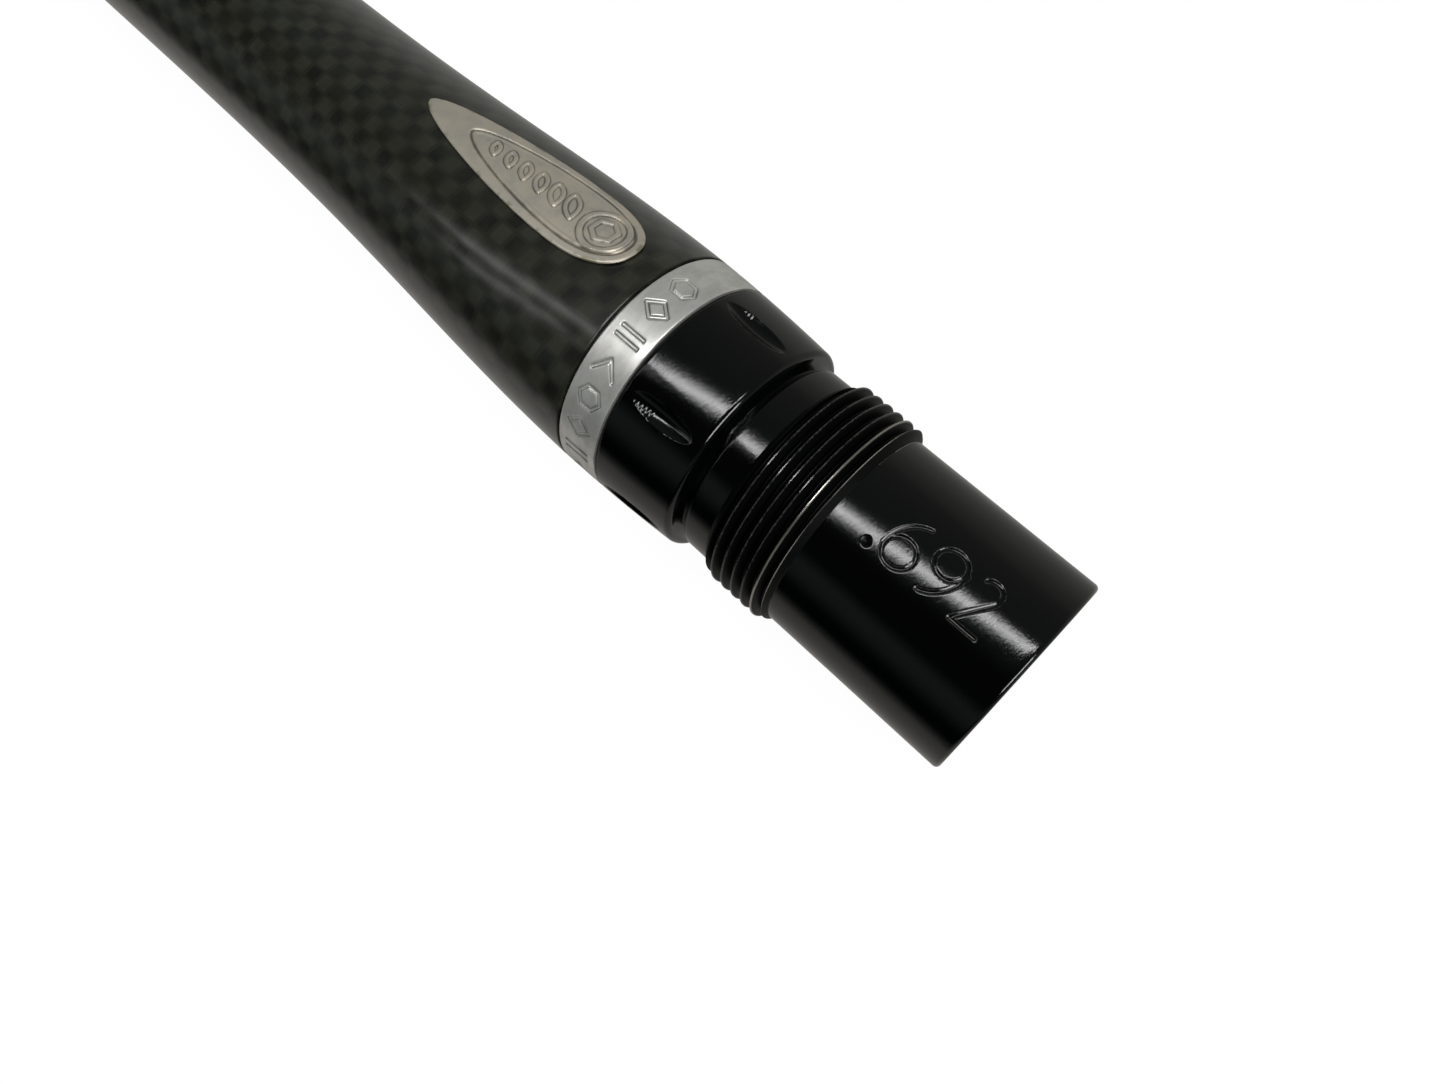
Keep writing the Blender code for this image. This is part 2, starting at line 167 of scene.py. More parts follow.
# Engraved bore size: the strokes start at the dot and run towards the breech
DIGITS_X = -16.25 * MM
DIGITS_BASELINE = -32.0
STROKE_HALF_WIDTH = 0.23 * MM
STROKE_DEPTH = 0.13 * MM
DOT_RADIUS = 0.55 * MM
DOT_DEPTH = 0.35 * MM
DOT_UP = 0.32 * MM
DIGITS_LENGTH = 12.6 * MM
DIGITS_MIDDLE_UP = 2.4 * MM
DIGITS_REACH_UP = 3.2 * MM

# Wear of the marker thread's first two crests and of its others: how much, and where it fades in and out
CREST_WEAR = [
    (0.9, -12.2 * MM, -11.6 * MM, -9.9 * MM, -9.6 * MM),
    (0.24, -9.6 * MM, -9.4 * MM, -4.2 * MM, -4.0 * MM),
]

# Wear along the edges of the engraved digits' strokes
STROKE_WEAR = 0.34

# Up to here the marker thread's lead-in has cut its flanks to a worn ridge
RIDGE_END = -11.2 * MM

# Spacing of the rings, and in degrees the fine stretches round the digits and each dimple
PLAIN_STEP = 1.5 * MM
TUBE_STEP = 6.0 * MM
ENGRAVED_STEP = 0.09 * MM
DIMPLED_STEP = 0.10 * MM
STAMPED_STEP = 0.085 * MM
FINE_TURN = 0.4
DIGITS_ZONE = (DIGITS_BASELINE + 12.75, 14.4, FINE_TURN)
DIMPLE_ZONE_HALF = 5.6

# Stamped marks on the band, in two runs on opposite sides
MARK_ANGLE = 2.0
MARK_STEP = -16.0
MARKS_PER_RUN = 9
MARK_HALF_WIDTH = 0.27 * MM
MARK_DEPTH = 0.15 * MM
MARK_LIP = 0.012 * MM
MARK_REACH = 1.7 * MM

# Badge
BADGE_LIFT = 0.24 * MM
BADGE_TOP = 0.44 * MM
BADGE_WIDEST = 7.9 * MM
BADGE_HALF_WIDTH = 4.36 * MM
BADGE_ORIGIN = BADGE_START - 0.4 * MM
BADGE_LENGTH = BADGE_END - BADGE_ORIGIN - 0.5 * MM
BADGE_SHIFT = -0.45 * MM
OVAL_START = 0.9 * MM
OVAL_LENGTH = 22.5 * MM
OVAL_HALF_WIDTH = 3.4 * MM
DROP_BLUNTNESS = 2.3
DROP_TIP_POWER = 1.05
DROP_TIP_ROUNDING = 0.44
EMBLEM_ALONG = 4.0 * MM
EMBLEM_RADIUS = 2.42 * MM
EMBLEM_HALF_WIDTH = 0.27 * MM
HEXAGON_RADIUS = 0.56 * EMBLEM_RADIUS
HEXAGON_HALF_WIDTH = 0.24 * MM
LEAF_COUNT = 6
FIRST_LEAF_ALONG = 8.5 * MM
LEAF_SPACING = 2.25 * MM
LEAF_SIZE = 1.65 * MM
LEAF_SHRINK = 0.14 * MM
LEAF_SLIMNESS = 0.42
LEAF_HALF_WIDTH = 0.17 * MM
LEAF_SLANT = 52
RELIEF_HEIGHT = 0.15 * MM
RELIEF_SIDE = 0.05 * MM
RIM_GROOVE_HALF_WIDTH = 0.21 * MM
FIELD_DEPTH = 0.06 * MM
BADGE_ROUNDING = 0.30 * MM
BADGE_EDGE_HEIGHT = BADGE_LIFT + 0.05 * MM
ADHESIVE_LIFT = 0.06 * MM
ADHESIVE_TOP = 0.18 * MM
ADHESIVE_INSET = 0.35 * MM

# Weave of the carbon
TOWS_ROUND = 36
TOW_WIDTH = 2.1 * MM
WEAVE_PHASE = -0.16
WEAVE_TURN = 6.75
WEAVE_SKEW = 0.955
WEAVE_WANDER = 0.35

# Radius at which patterns in the materials keep their true width
PATTERN_RADIUS = 12.0 * MM

# Just under the barrel
FLOOR_Z = -12.75 * MM


# ==== Shapes that several pieces share


def grip_radius(x):
    """Outer radius of the collar and of the band, which share one arc."""
    return GRIP_PEAK_RADIUS - GRIP_CURVATURE * (x - GRIP_PEAK_X) ** 2


def shell_radius(x):
    """Outer radius of the carbon shell: a bell-shaped flare that runs out into a straight tube."""
    return SHELL_TUBE_RADIUS + SHELL_FLARE * bell(x - SHELL_PEAK_X, SHELL_FLARE_LENGTH)


def polar(x, radius, angle):
    """Points at these places along the axis, at these radii and angles, as rows of x, y, z."""
    x, radius, angle = np.broadcast_arrays(x, radius, angle)
    return np.stack([x, -radius * np.sin(angle), radius * np.cos(angle)], axis=-1)


def steps(start, end, size):
    """Places from start to end, evenly spaced and no further apart than size."""
    return np.linspace(start, end, max(2, int(np.ceil(abs(end - start) / size)) + 1))


def angle_lines(coarse, zones=()):
    """Angles round the axis in radians, finer in the zones, each (middle, half width, step) in degrees."""
    lines = list(np.arange(0, 360, coarse))
    for middle, half, step in zones:
        lines = [a for a in lines if abs((a - middle + 180) % 360 - 180) > half + step]
        lines += [(middle + step * i) % 360 for i in range(-round(half / step), round(half / step) + 1)]
    return np.radians(sorted(lines))


def arc(centre_x, centre_y, radius_x, radius_y, start, end, count=24):
    """Points along part of an ellipse, angles in degrees from +x towards +y."""
    turn = np.radians(np.linspace(start, end, count + 1))
    return np.stack([centre_x + radius_x * np.cos(turn), centre_y + radius_y * np.sin(turn)], axis=-1)


def corner(x, radius, size, start, end, count=5):
    """A rounded edge as (x, radius) pairs, from its centre, size and turn."""
    return [tuple(p) for p in arc(x, radius, size, size, start, end, count)]


def distance_to(lines, x, y):
    """Distance from each point to the nearest of these open lines, each an array of points."""
    nearest = np.full(np.shape(x), np.inf)
    for line in lines:
        for (ax, ay), (bx, by) in zip(line, line[1:]):
            length = max((bx - ax) ** 2 + (by - ay) ** 2, 1e-18)
            share = np.clip(((x - ax) * (bx - ax) + (y - ay) * (by - ay)) / length, 0, 1)
            gap = np.hypot(x - ax - share * (bx - ax), y - ay - share * (by - ay))
            nearest = np.minimum(nearest, gap)
    return nearest


def groove(distance, half_width, depth):
    """Depth of a round-bottomed groove at this distance from its middle line."""
    return depth * np.clip(1 - (distance / half_width) ** 2, 0, 1)


def smoothstep(low, high, value):
    share = np.clip((value - low) / (high - low), 0, 1)
    return share * share * (3 - 2 * share)


def bell(distance, width):
    return np.exp(-((distance / width) ** 2))


def wrapped(angles, middle, period=2 * pi):
    """Each angle's distance from the nearest of the middles that repeat with this period."""
    return (angles - middle + period / 2) % period - period / 2


def cylindrical(points):
    """The x, radius and angle of each point."""
    x, y, z = points.T
    return x, np.hypot(y, z), np.arctan2(-y, z)


# ==== Meshes


def add(name, data):
    """Makes an object of this mesh, light or camera in the scene."""
    made = bpy.data.objects.new(name, data)
    bpy.context.scene.collection.objects.link(made)
    return made


def finish_mesh(name, points, faces, material, sharp=38, values=None):
    """Makes the object, smooth apart from edges sharper than this many degrees.

    values maps a name to one number per point, which the material reads as an attribute.
    """
    mesh = bpy.data.meshes.new(name)
    mesh.from_pydata(points.tolist(), [], faces)
    mesh.materials.append(material)
    mesh.shade_smooth()
    mesh.set_sharp_from_angle(angle=radians(sharp))
    for key, numbers in (values or {}).items():
        attribute = mesh.attributes.new(key, "FLOAT", "POINT")
        attribute.data.foreach_set("value", np.asarray(numbers, np.float32))
    return add(name, mesh)


def without_loose_points(points, faces):
    """Drops the points that no face uses. Returns which are kept, and the faces with new numbers."""
    used = np.unique(np.concatenate([np.array(face) for face in faces]))
    renumber = np.zeros(len(points), int)
    renumber[used] = np.arange(len(used))
    numbers = renumber.tolist()
    return used, [[numbers[i] for i in face] for face in faces]


def faces_between(table):
    """Faces of a table of point numbers, where repeated numbers turn a square into a triangle or nothing."""
    squares = np.stack([table[:-1, :-1], table[:-1, 1:], table[1:, 1:], table[1:, :-1]], axis=-1)
    faces = [list(dict.fromkeys(square)) for square in squares.reshape(-1, 4).tolist()]
    return [face for face in faces if len(face) > 2]


class Turning:
    """A body turned about the X axis, built ring by ring: out along its outside and back along its inside."""

    def __init__(self, angles):
        self.angles = angles
        self.rings = []
        self.table = []
        self.count = 0

    def add_points(self, x, radius):
        """One point for each angle, at this place and radius, which may differ from angle to angle."""
        self.rings.append(polar(x, radius, self.angles))
        first = self.count
        self.count += len(self.angles)
        return np.arange(first, self.count)

    def ring(self, x, radius):
        numbers = self.add_points(x, radius)
        self.table.append(np.append(numbers, numbers[0]))

    def outline(self, pairs):
        for x, radius in pairs:
            self.ring(x, radius)

    def follow(self, places, radius):
        """Rings at these places, with the radius given as a function of the place."""
        for x in places:
            self.ring(x, radius(x))

    def thread(self, start, end, crest_x, offsets, radius, backwards=False):
        """Rings that follow a thread from start to end, so that its crests are clean edges.

        crest_x is a crest's middle at angle zero, offsets are the ring places within one pitch, and
        radius(x, offset) gives the surface. The rings before and after it lie at start and end.
        """
        near_x, far_x = (end, start) if backwards else (start, end)
        near, far = [self.add_points(x, radius(x, PITCH / 2)) for x in (near_x, far_x)]
        low, high = (far, near) if backwards else (near, far)
        advance = PITCH * self.angles / (2 * pi)
        first = int(np.floor((start - PITCH - crest_x) / PITCH)) - 1
        last = int(np.ceil((end - crest_x) / PITCH)) + 1
        rows = []
        for turn in range(first, last):
            for offset in offsets:
                x = crest_x + PITCH * turn + offset + advance
                inside = (x > start) & (x < end)
                numbers = np.where(x <= start, low, high)
                if inside.any():
                    between = np.clip(x, start, end)
                    numbers = np.where(inside, self.add_points(between, radius(between, offset)), numbers)
                rows.append(numbers)
        one_turn_on = [row[0] for row in rows[len(offsets):]] + [high[0]] * len(offsets)
        rows = [np.append(row, closing) for row, closing in zip(rows, one_turn_on)]
        self.table.append(np.append(near, near[0]))
        self.table += rows[::-1] if backwards else rows
        self.table.append(np.append(far, far[0]))

    def close(self, name, material, sharp=38, values=None):
        """Joins the last ring to the first and makes the object. values are functions of the points."""
        points = np.concatenate(self.rings)
        used, faces = without_loose_points(points, faces_between(np.array(self.table + self.table[:1])))
        numbers = {key: measure(points[used]) for key, measure in (values or {}).items()}
        return finish_mesh(name, points[used], faces, material, sharp, numbers)


def nowhere(points):
    return np.zeros(len(points))


# ==== Materials


class Graph:
    """A node tree, filled in short lines: an input given as a socket is linked, anything else is set."""

    def __init__(self, tree):
        self.tree = tree
        tree.nodes.clear()

    def node(self, kind, inputs=(), **settings):
        made = self.tree.nodes.new("ShaderNode" + kind)
        for key, value in settings.items():
            setattr(made, key, value)
        for key, value in dict(inputs).items():
            socket = made.inputs[key]
            if isinstance(value, bpy.types.NodeSocket):
                self.tree.links.new(value, socket)
            else:
                socket.default_value = (*value, 1.0) if socket.type == "RGBA" else value
        return made

    def math(self, operation, *values):
        return self.node("Math", enumerate(values), operation=operation).outputs[0]

    def plus(self, first, second):
        return self.math("ADD", first, second)

    def times(self, first, second):
        return self.math("MULTIPLY", first, second)

    def linear(self, value, slope, offset):
        return self.math("MULTIPLY_ADD", value, slope, offset)

    def blend(self, share, first, second):
        """A colour between two others."""
        return self.node("Mix", {0: share, 6: first, 7: second}, data_type="RGBA").outputs[2]

    def between(self, value, low, high, start=0.0, end=1.0):
        """The value, eased from start to end as it goes from low to high."""
        inputs = {0: value, 1: low, 2: high, 3: start, 4: end}
        return self.node("MapRange", inputs, interpolation_type="SMOOTHSTEP").outputs[0]

    def noise(self, vector, scale, detail=2, roughness=0.5):
        inputs = {"Vector": vector, "Scale": scale, "Detail": detail, "Roughness": roughness}
        return self.node("TexNoise", inputs).outputs[0]

    def streaks(self, turned, along, round_axis, detail=2, roughness=0.5, outward=1):
        """Noise on the turned vector, with its parts scaled apart so that it stretches."""
        inputs = {0: turned, 1: (along, round_axis, outward)}
        stretched = self.node("VectorMath", inputs, operation="MULTIPLY").outputs[0]
        return self.noise(stretched, 1, detail, roughness)

    def attribute(self, name):
        return self.node("Attribute", attribute_name=name).outputs["Fac"]

    def bump(self, height, distance, strength=1.0, normal=None):
        inputs = {"Height": height, "Distance": distance, "Strength": strength}
        if normal is not None:
            inputs["Normal"] = normal
        return self.node("Bump", inputs).outputs[0]

    def place(self):
        """The point in the barrel's own coordinates."""
        return self.node("TexCoord").outputs["Object"]

    def turned(self):
        """The vector (x, arc, radius), for patterns that follow the barrel, and x and the angle alone."""
        x, y, z = self.node("SeparateXYZ", {0: self.place()}).outputs
        angle = self.math("ARCTAN2", self.times(y, -1.0), z)
        radius = self.math("SQRT", self.plus(self.times(y, y), self.times(z, z)))
        arc_length = self.times(angle, PATTERN_RADIUS)
        return self.node("CombineXYZ", {0: x, 1: arc_length, 2: radius}).outputs[0], x, angle

    def principled(self, inputs):
        """Ends the tree in one Principled BSDF."""
        self.surface(self.node("BsdfPrincipled", inputs))

    def surface(self, shader):
        self.node("OutputMaterial", {"Surface": shader.outputs[0]})


def new_material(name):
    made = bpy.data.materials.new(name)
    made.use_nodes = True
    return made, Graph(made.node_tree)


def anodised_material():
    """Gloss black anodising: fine etched grain and turning marks, a few dust specks, wear to bare metal."""
    made, graph = new_material("black_anodising")
    turned, _, _ = graph.turned()
    grain = graph.streaks(turned, 6000, 2600, 3, 0.7, outward=2600)
    lathe_marks = graph.streaks(turned, 16000, 60)
    clouds = graph.streaks(turned, 260, 500, 3)
    specks = graph.node("TexVoronoi", {"Vector": graph.place(), "Scale": 420.0})
    speck_number = graph.node("SeparateColor", {0: specks.outputs["Color"]}).outputs[0]
    near_speck = graph.between(specks.outputs["Distance"], 0.035, 0.015)
    dust = graph.times(graph.between(speck_number, 0.86, 0.9), near_speck)
    wear = graph.between(graph.plus(graph.attribute("wear"), graph.linear(grain, 0.5, -0.25)), 0.1, 1.0)
    matt = graph.attribute("matt")
    colour = graph.blend(wear, (0.0008, 0.0011, 0.0011), (0.50, 0.475, 0.43))
    colour = graph.blend(graph.times(dust, 0.55), colour, (0.5, 0.5, 0.47))
    rough = graph.linear(clouds, 0.06, 0.07)
    rough = graph.plus(rough, graph.times(graph.plus(dust, wear), 0.2))
    rough = graph.plus(rough, graph.times(matt, 0.35))
    normal = graph.bump(grain, 0.008 * MM, 1.0, graph.bump(lathe_marks, 0.001 * MM))
    graph.principled({
        "Base Color": colour,
        "Roughness": rough,
        "Metallic": wear,
        "Normal": normal,
        "IOR": 1.5,
        # Reflection turned down where matt: painted shade on the marker thread's flanks and lead-in and
        # inside the drilled dot.
        "Specular IOR Level": graph.linear(matt, -0.38, 0.5),
    })
    return made


def brushed_material(name, colour, darkening_colour, roughness, brush_depth):
    """Aluminium brushed round its turning axis, with faint blotches, and darker halfway down the stamping's
    walls and in the darkest blotches.
    """
    made, graph = new_material(name)
    turned, _, _ = graph.turned()
    brush = graph.streaks(turned, 26000, 700, 3, 0.6)
    blotches = graph.streaks(turned, 500, 260, 4, 0.6)
    # Darker halfway down the stamping's walls, and in the darkest blotches.
    darkening = graph.plus(graph.attribute("recess"), graph.linear(blotches, 0.8, -0.4))
    darkening = graph.between(darkening, 0.35, 1.0)
    dulled = tuple(0.80 * part for part in colour)
    shade = graph.blend(graph.between(blotches, 0.40, 0.66), colour, dulled)
    shade = graph.blend(graph.times(darkening, 0.8), shade, darkening_colour)
    rough = graph.linear(brush, 0.22, roughness - 0.11)
    rough = graph.linear(graph.between(blotches, 0.35, 0.7), 0.07, rough)
    graph.principled({
        "Base Color": shade,
        "Roughness": rough,
        "Metallic": 0.72,
        "Anisotropic": 0.4,
        "Normal": graph.bump(brush, brush_depth),
        "Tangent": graph.node("Tangent", direction_type="RADIAL", axis="X").outputs[0],
    })
    return made


def nickel_material():
    """Satin nickel of the cast badge: warm, finely pitted, dark in the recesses, greenish at its edge."""
    made, graph = new_material("satin_nickel")
    pits = graph.noise(graph.place(), 7000, 3, 0.6)
    clouds = graph.noise(graph.place(), 420, 4, 0.6)
    warm = graph.blend(graph.between(clouds, 0.35, 0.68), (0.66, 0.60, 0.49), (0.57, 0.53, 0.47))
    tarnish = graph.plus(graph.attribute("recess"), graph.linear(clouds, 1.0, -0.5))
    tarnish = graph.between(tarnish, 0.25, 1.0)
    colour = graph.blend(graph.times(tarnish, 0.85), warm, (0.10, 0.088, 0.062))
    green = graph.times(graph.attribute("edge"), graph.between(clouds, 0.50, 0.62))
    colour = graph.blend(graph.times(green, 0.7), colour, (0.20, 0.19, 0.07))
    normal = graph.bump(graph.plus(pits, graph.times(clouds, 3.0)), 0.006 * MM)
    rough = graph.linear(pits, 0.16, 0.38)
    graph.principled({"Base Color": colour, "Roughness": rough, "Metallic": 0.6, "Normal": normal})
    return made


def carbon_material():
    """Plain-weave carbon under thick gloss lacquer. Tows that run along and round take turns on top; their
    lighter and darker tones are painted sheen on the real weave.
    """
    made, graph = new_material("woven_carbon")
    turned, x, angle = graph.turned()
    wander = graph.streaks(turned, 160, 160, 1)
    wander = graph.linear(wander, WEAVE_WANDER, WEAVE_PHASE - WEAVE_WANDER / 2)
    along = graph.plus(graph.math("DIVIDE", x, TOW_WIDTH), wander)
    along = graph.linear(angle, WEAVE_SKEW, along)
    across = graph.linear(angle, TOWS_ROUND / (2 * pi), WEAVE_TURN)
    along_wave = graph.math("SINE", graph.times(along, pi))
    across_wave = graph.math("SINE", graph.times(across, pi))
    turns = graph.times(
        graph.between(along_wave, -0.75, 0.75, -1.0, 1.0), graph.between(across_wave, -0.5, 0.5, -1.0, 1.0)
    )
    hump = graph.math("ABSOLUTE", graph.times(along_wave, across_wave))
    gap = graph.math("MINIMUM", graph.math("ABSOLUTE", along_wave), graph.math("ABSOLUTE", across_wave))
    strands_along = graph.streaks(turned, 500, 14000)
    strands_round = graph.streaks(turned, 14000, 500)
    inputs = {0: graph.between(turns, -0.05, 0.05), 2: strands_along, 3: strands_round}
    strands = graph.node("Mix", inputs, data_type="FLOAT").outputs[0]
    soft = graph.streaks(turned, 260, 260)
    # Tows on top one way are painted lighter and the other way darker: painted sheen of the fibres. The dark
    # gaps between tows are real.
    dark, middle, bright = (0.007, 0.007, 0.005), (0.021, 0.021, 0.014), (0.034, 0.034, 0.024)
    colour = graph.blend(graph.between(turns, -1.0, -0.40), dark, middle)
    colour = graph.blend(graph.between(turns, 0.30, 1.0), colour, bright)
    colour = graph.blend(graph.between(gap, 0.0, 0.22, 0.30, 0.0), colour, dark)
    colour = graph.blend(graph.between(soft, 0.34, 0.62, 0.0, 0.5), colour, middle)
    colour = graph.blend(graph.between(strands, 0.35, 0.75, 0.0, 0.35), colour, (0.012, 0.012, 0.0085))
    lacquer = graph.streaks(turned, 60, 240)
    graph.principled({
        "Base Color": colour,
        "Roughness": 0.42,
        "Metallic": 0.0,
        "IOR": 1.5,
        "Specular IOR Level": 0.15,
        "Normal": graph.bump(strands, 0.006 * MM, 0.6, graph.bump(hump, 0.03 * MM, 0.5)),
        "Coat Weight": 1.0,
        "Coat Roughness": 0.18,
        "Coat IOR": 1.5,
        "Coat Normal": graph.bump(lacquer, 0.01 * MM),
    })
    return made


def rubber_material():
    """Moulded nitrile rubber, dull with a fine matt texture."""
    made, graph = new_material("nitrile_rubber")
    texture = graph.noise(graph.place(), 6000, 3)
    colour = graph.blend(texture, (0.010, 0.010, 0.010), (0.022, 0.022, 0.021))
    rough = graph.linear(texture, 0.2, 0.5)
    normal = graph.bump(texture, 0.008 * MM)
    graph.principled({"Base Color": colour, "Roughness": rough, "Normal": normal})
    return made


def adhesive_material():
    """Old adhesive film, yellow-brown and dirty where it shows at the badge's edge."""
    made, graph = new_material("adhesive_film")
    stain = graph.noise(graph.place(), 900, 4)
    colour = graph.blend(graph.between(stain, 0.4, 0.65), (0.045, 0.040, 0.020), (0.16, 0.14, 0.06))
    normal = graph.bump(stain, 0.01 * MM)
    graph.principled({"Base Color": colour, "Roughness": 0.7, "Normal": normal})
    return made


# ==== Back


def digit_strokes():
    """Middle lines of the engraved .692, each as (reading direction, up) in metres from the dot."""
    two_bowl = arc(10.5, 3.75, 1.12, 1.12, 140, -35)
    strokes = [
        arc(2.70, 1.38, 1.55, 1.38, 0, 360),
        arc(4.15, 1.20, 3.05, 3.67, 180, 102),
        arc(6.65, 3.49, 1.50, 1.38, 0, 360),
        arc(5.25, 3.67, 3.05, 3.67, 0, -80),
        np.concatenate([two_bowl, [(9.35, 0.0), (12.0, 0.0)]]),
    ]
    return [stroke * MM for stroke in strokes]


def engraving_depth(x, angles):
    """How deep the engraving is at this place along the nose, for each angle."""
    reading = np.full(len(angles), DIGITS_X - x)
    up = NOSE_RADIUS * wrapped(angles, radians(DIGITS_BASELINE))
    close = np.abs(up - DIGITS_MIDDLE_UP) < DIGITS_REACH_UP
    depth = np.zeros(len(angles))
    if close.any():
        reading, up = reading[close], up[close]
        cut = groove(distance_to(digit_strokes(), reading, up), STROKE_HALF_WIDTH, STROKE_DEPTH)
        dot = np.clip(1 - np.hypot(reading, up - DOT_UP) / DOT_RADIUS, 0, 1) * DOT_DEPTH
        depth[close] = np.maximum(cut, dot)
    return depth


def flank_radius(offset, crest_radius, crest_half):
    """Radius of a 60 degree thread's crest and flanks at this distance from the crest's middle."""
    return crest_radius - max(abs(offset) - crest_half, 0) / FLANK


def marker_blank(x):
    """Radius of the marker thread's blank: a 45 degree lead-in, a crest land and a 45 degree run-out."""
    lead_in = NOSE_RADIUS + (x - LEAD_IN_START)
    run_out = NECK_RADIUS + (NECK_START - x)
    return np.minimum(MARKER_THREAD_RADIUS, np.minimum(lead_in, run_out))


def marker_thread_radius(x, offset):
    flank = flank_radius(offset, MARKER_THREAD_RADIUS, MARKER_CREST_HALF)
    return np.minimum(marker_blank(x), max(flank, MARKER_THREAD_RADIUS - MARKER_THREAD_DEPTH))


def joint_blank(x):
    """Radius of the joint thread's blank: a 45 degree rise, a crest land and a 45 degree fall."""
    rise = JOINT_ROOT + (x - (JOINT_THREAD_START - PITCH / 2))
    fall = JOINT_ROOT + (JOINT_CREST_END + THREAD_DEPTH - x)
    return np.clip(np.minimum(rise, fall), JOINT_ROOT, JOINT_THREAD_RADIUS)


def joint_thread_radius(x, offset):
    return np.minimum(joint_blank(x), max(flank_radius(offset, JOINT_THREAD_RADIUS, CREST_HALF), JOINT_ROOT))


def nut_radius(x, offset):
    """Inner radius of the insert: the joint thread's shape with clearance, inside the nut's minor bore."""
    major = JOINT_THREAD_RADIUS + NUT_RADIAL_CLEARANCE
    flank = flank_radius(offset, major, CREST_HALF + NUT_SIDE_CLEARANCE)
    limit = major - np.clip(x - NUT_GROOVE_END, 0, None)
    mouth = np.minimum(NUT_MINOR_RADIUS + (JOINT_THREAD_START - x), INSERT_MOUTH_RADIUS)
    return np.maximum(np.maximum(NUT_MINOR_RADIUS, np.minimum(flank, limit)), mouth)


def thread_offsets(half_crest, depth, flank_rings):
    """Ring places within one pitch, from half a pitch before the crest to half a pitch after it."""
    side = list(np.linspace(half_crest, half_crest + depth * FLANK, flank_rings))
    return [-PITCH / 2] + [-place for place in reversed(side)] + side


def dimple_depth(x, angles):
    """Depth of the six pointed grip dimples, each a rounded V, with cutter chatter towards the band."""
    from_valley = wrapped(angles, radians(DIMPLE_FIRST_ANGLE), 2 * pi / DIMPLE_COUNT)
    aside = np.abs(from_valley) * grip_radius(x)
    valley = DIMPLE_DEPTH * (1 - ((x - DIMPLE_X) / DIMPLE_HALF_LENGTH) ** 2)
    if x > CHATTER_START:
        valley += CHATTER_DEPTH * sin(2 * pi * (x - CHATTER_START) / CHATTER_PITCH)
    side = DIMPLE_DEPTH * (aside / DIMPLE_HALF_WIDTH) ** 2
    return np.clip(valley - side, 0, None)


def back_wear(points):
    """Bare metal: on the marker thread's crests, most on the first two, and faint on the digits' edges."""
    x, radius, angle = cylindrical(points)
    up = NOSE_RADIUS * (angle - radians(DIGITS_BASELINE))
    digits = (radius > NOSE_RADIUS - 2 * STROKE_DEPTH) & (x < LEAD_IN_START)
    from_stroke = np.full(len(x), 1.0)
    from_stroke[digits] = distance_to(digit_strokes(), DIGITS_X - x[digits], up[digits])
    stroke_edge = bell(from_stroke - STROKE_HALF_WIDTH, 0.05 * MM)
    crest = smoothstep(MARKER_THREAD_RADIUS - 0.06 * MM, MARKER_THREAD_RADIUS - 0.01 * MM, radius)
    worn = sum(
        amount * smoothstep(start, full, x) * (1 - smoothstep(fade, end, x))
        for amount, start, full, fade, end in CREST_WEAR
    )
    from_crest = (x - MARKER_CREST_X - PITCH * angle / (2 * pi)) / PITCH
    from_crest = PITCH * (from_crest - np.round(from_crest))
    flank = MARKER_THREAD_RADIUS - np.clip(from_crest - MARKER_CREST_HALF, 0, None) / FLANK
    on_ridge = (x > LEAD_IN_START) & (x < RIDGE_END) & (from_crest > 0)
    ridge = on_ridge * bell(flank - marker_blank(x), 0.11 * MM)
    return crest * worn + STROKE_WEAR * stroke_edge + ridge


def back_dull_and_shaded(points):
    """The marker thread's flanks and the drilled dot are duller than the turned surfaces, and their
    reflection is turned down as painted shade.
    """
    x, radius, angle = cylindrical(points)
    outside = radius > RELIEF_RADIUS
    thread = outside & (x > LEAD_IN_START) & (x < NECK_START)
    up = NOSE_RADIUS * (angle - radians(DIGITS_BASELINE))
    from_dot = np.hypot(DIGITS_X - x, up - DOT_UP)
    dot = outside * (1 - smoothstep(0.7 * DOT_RADIUS, DOT_RADIUS, from_dot))
    return thread * smoothstep(MARKER_THREAD_RADIUS, MARKER_THREAD_RADIUS - 0.1 * MM, radius) + dot


def add_nose(back):
    """From the bore's mouth over the rounded rim and the engraved nose to the marker thread."""
    edge = 0.05 * MM
    back.outline([(BREECH_X + NOSE_EDGE, BORE_RADIUS)])
    back.outline(corner(BREECH_X + edge, BORE_RADIUS + NOSE_EDGE, edge, 225, 180, 2))
    back.outline(corner(BREECH_X + NOSE_EDGE, NOSE_RADIUS - NOSE_EDGE, NOSE_EDGE, 180, 90, 6))
    digits_start, digits_end = DIGITS_X - DIGITS_LENGTH, DIGITS_X + 0.8 * MM
    places = [
        *steps(BREECH_X + 2 * NOSE_EDGE, digits_start, PLAIN_STEP),
        *steps(digits_start, digits_end, ENGRAVED_STEP)[1:],
        *steps(digits_end, LEAD_IN_START, PLAIN_STEP)[1:-1],
    ]
    back.follow(places, lambda x: NOSE_RADIUS - engraving_depth(x, back.angles))
    offsets = thread_offsets(MARKER_CREST_HALF, MARKER_THREAD_DEPTH, 7)
    back.thread(LEAD_IN_START, NECK_START, MARKER_CREST_X, offsets, marker_thread_radius)


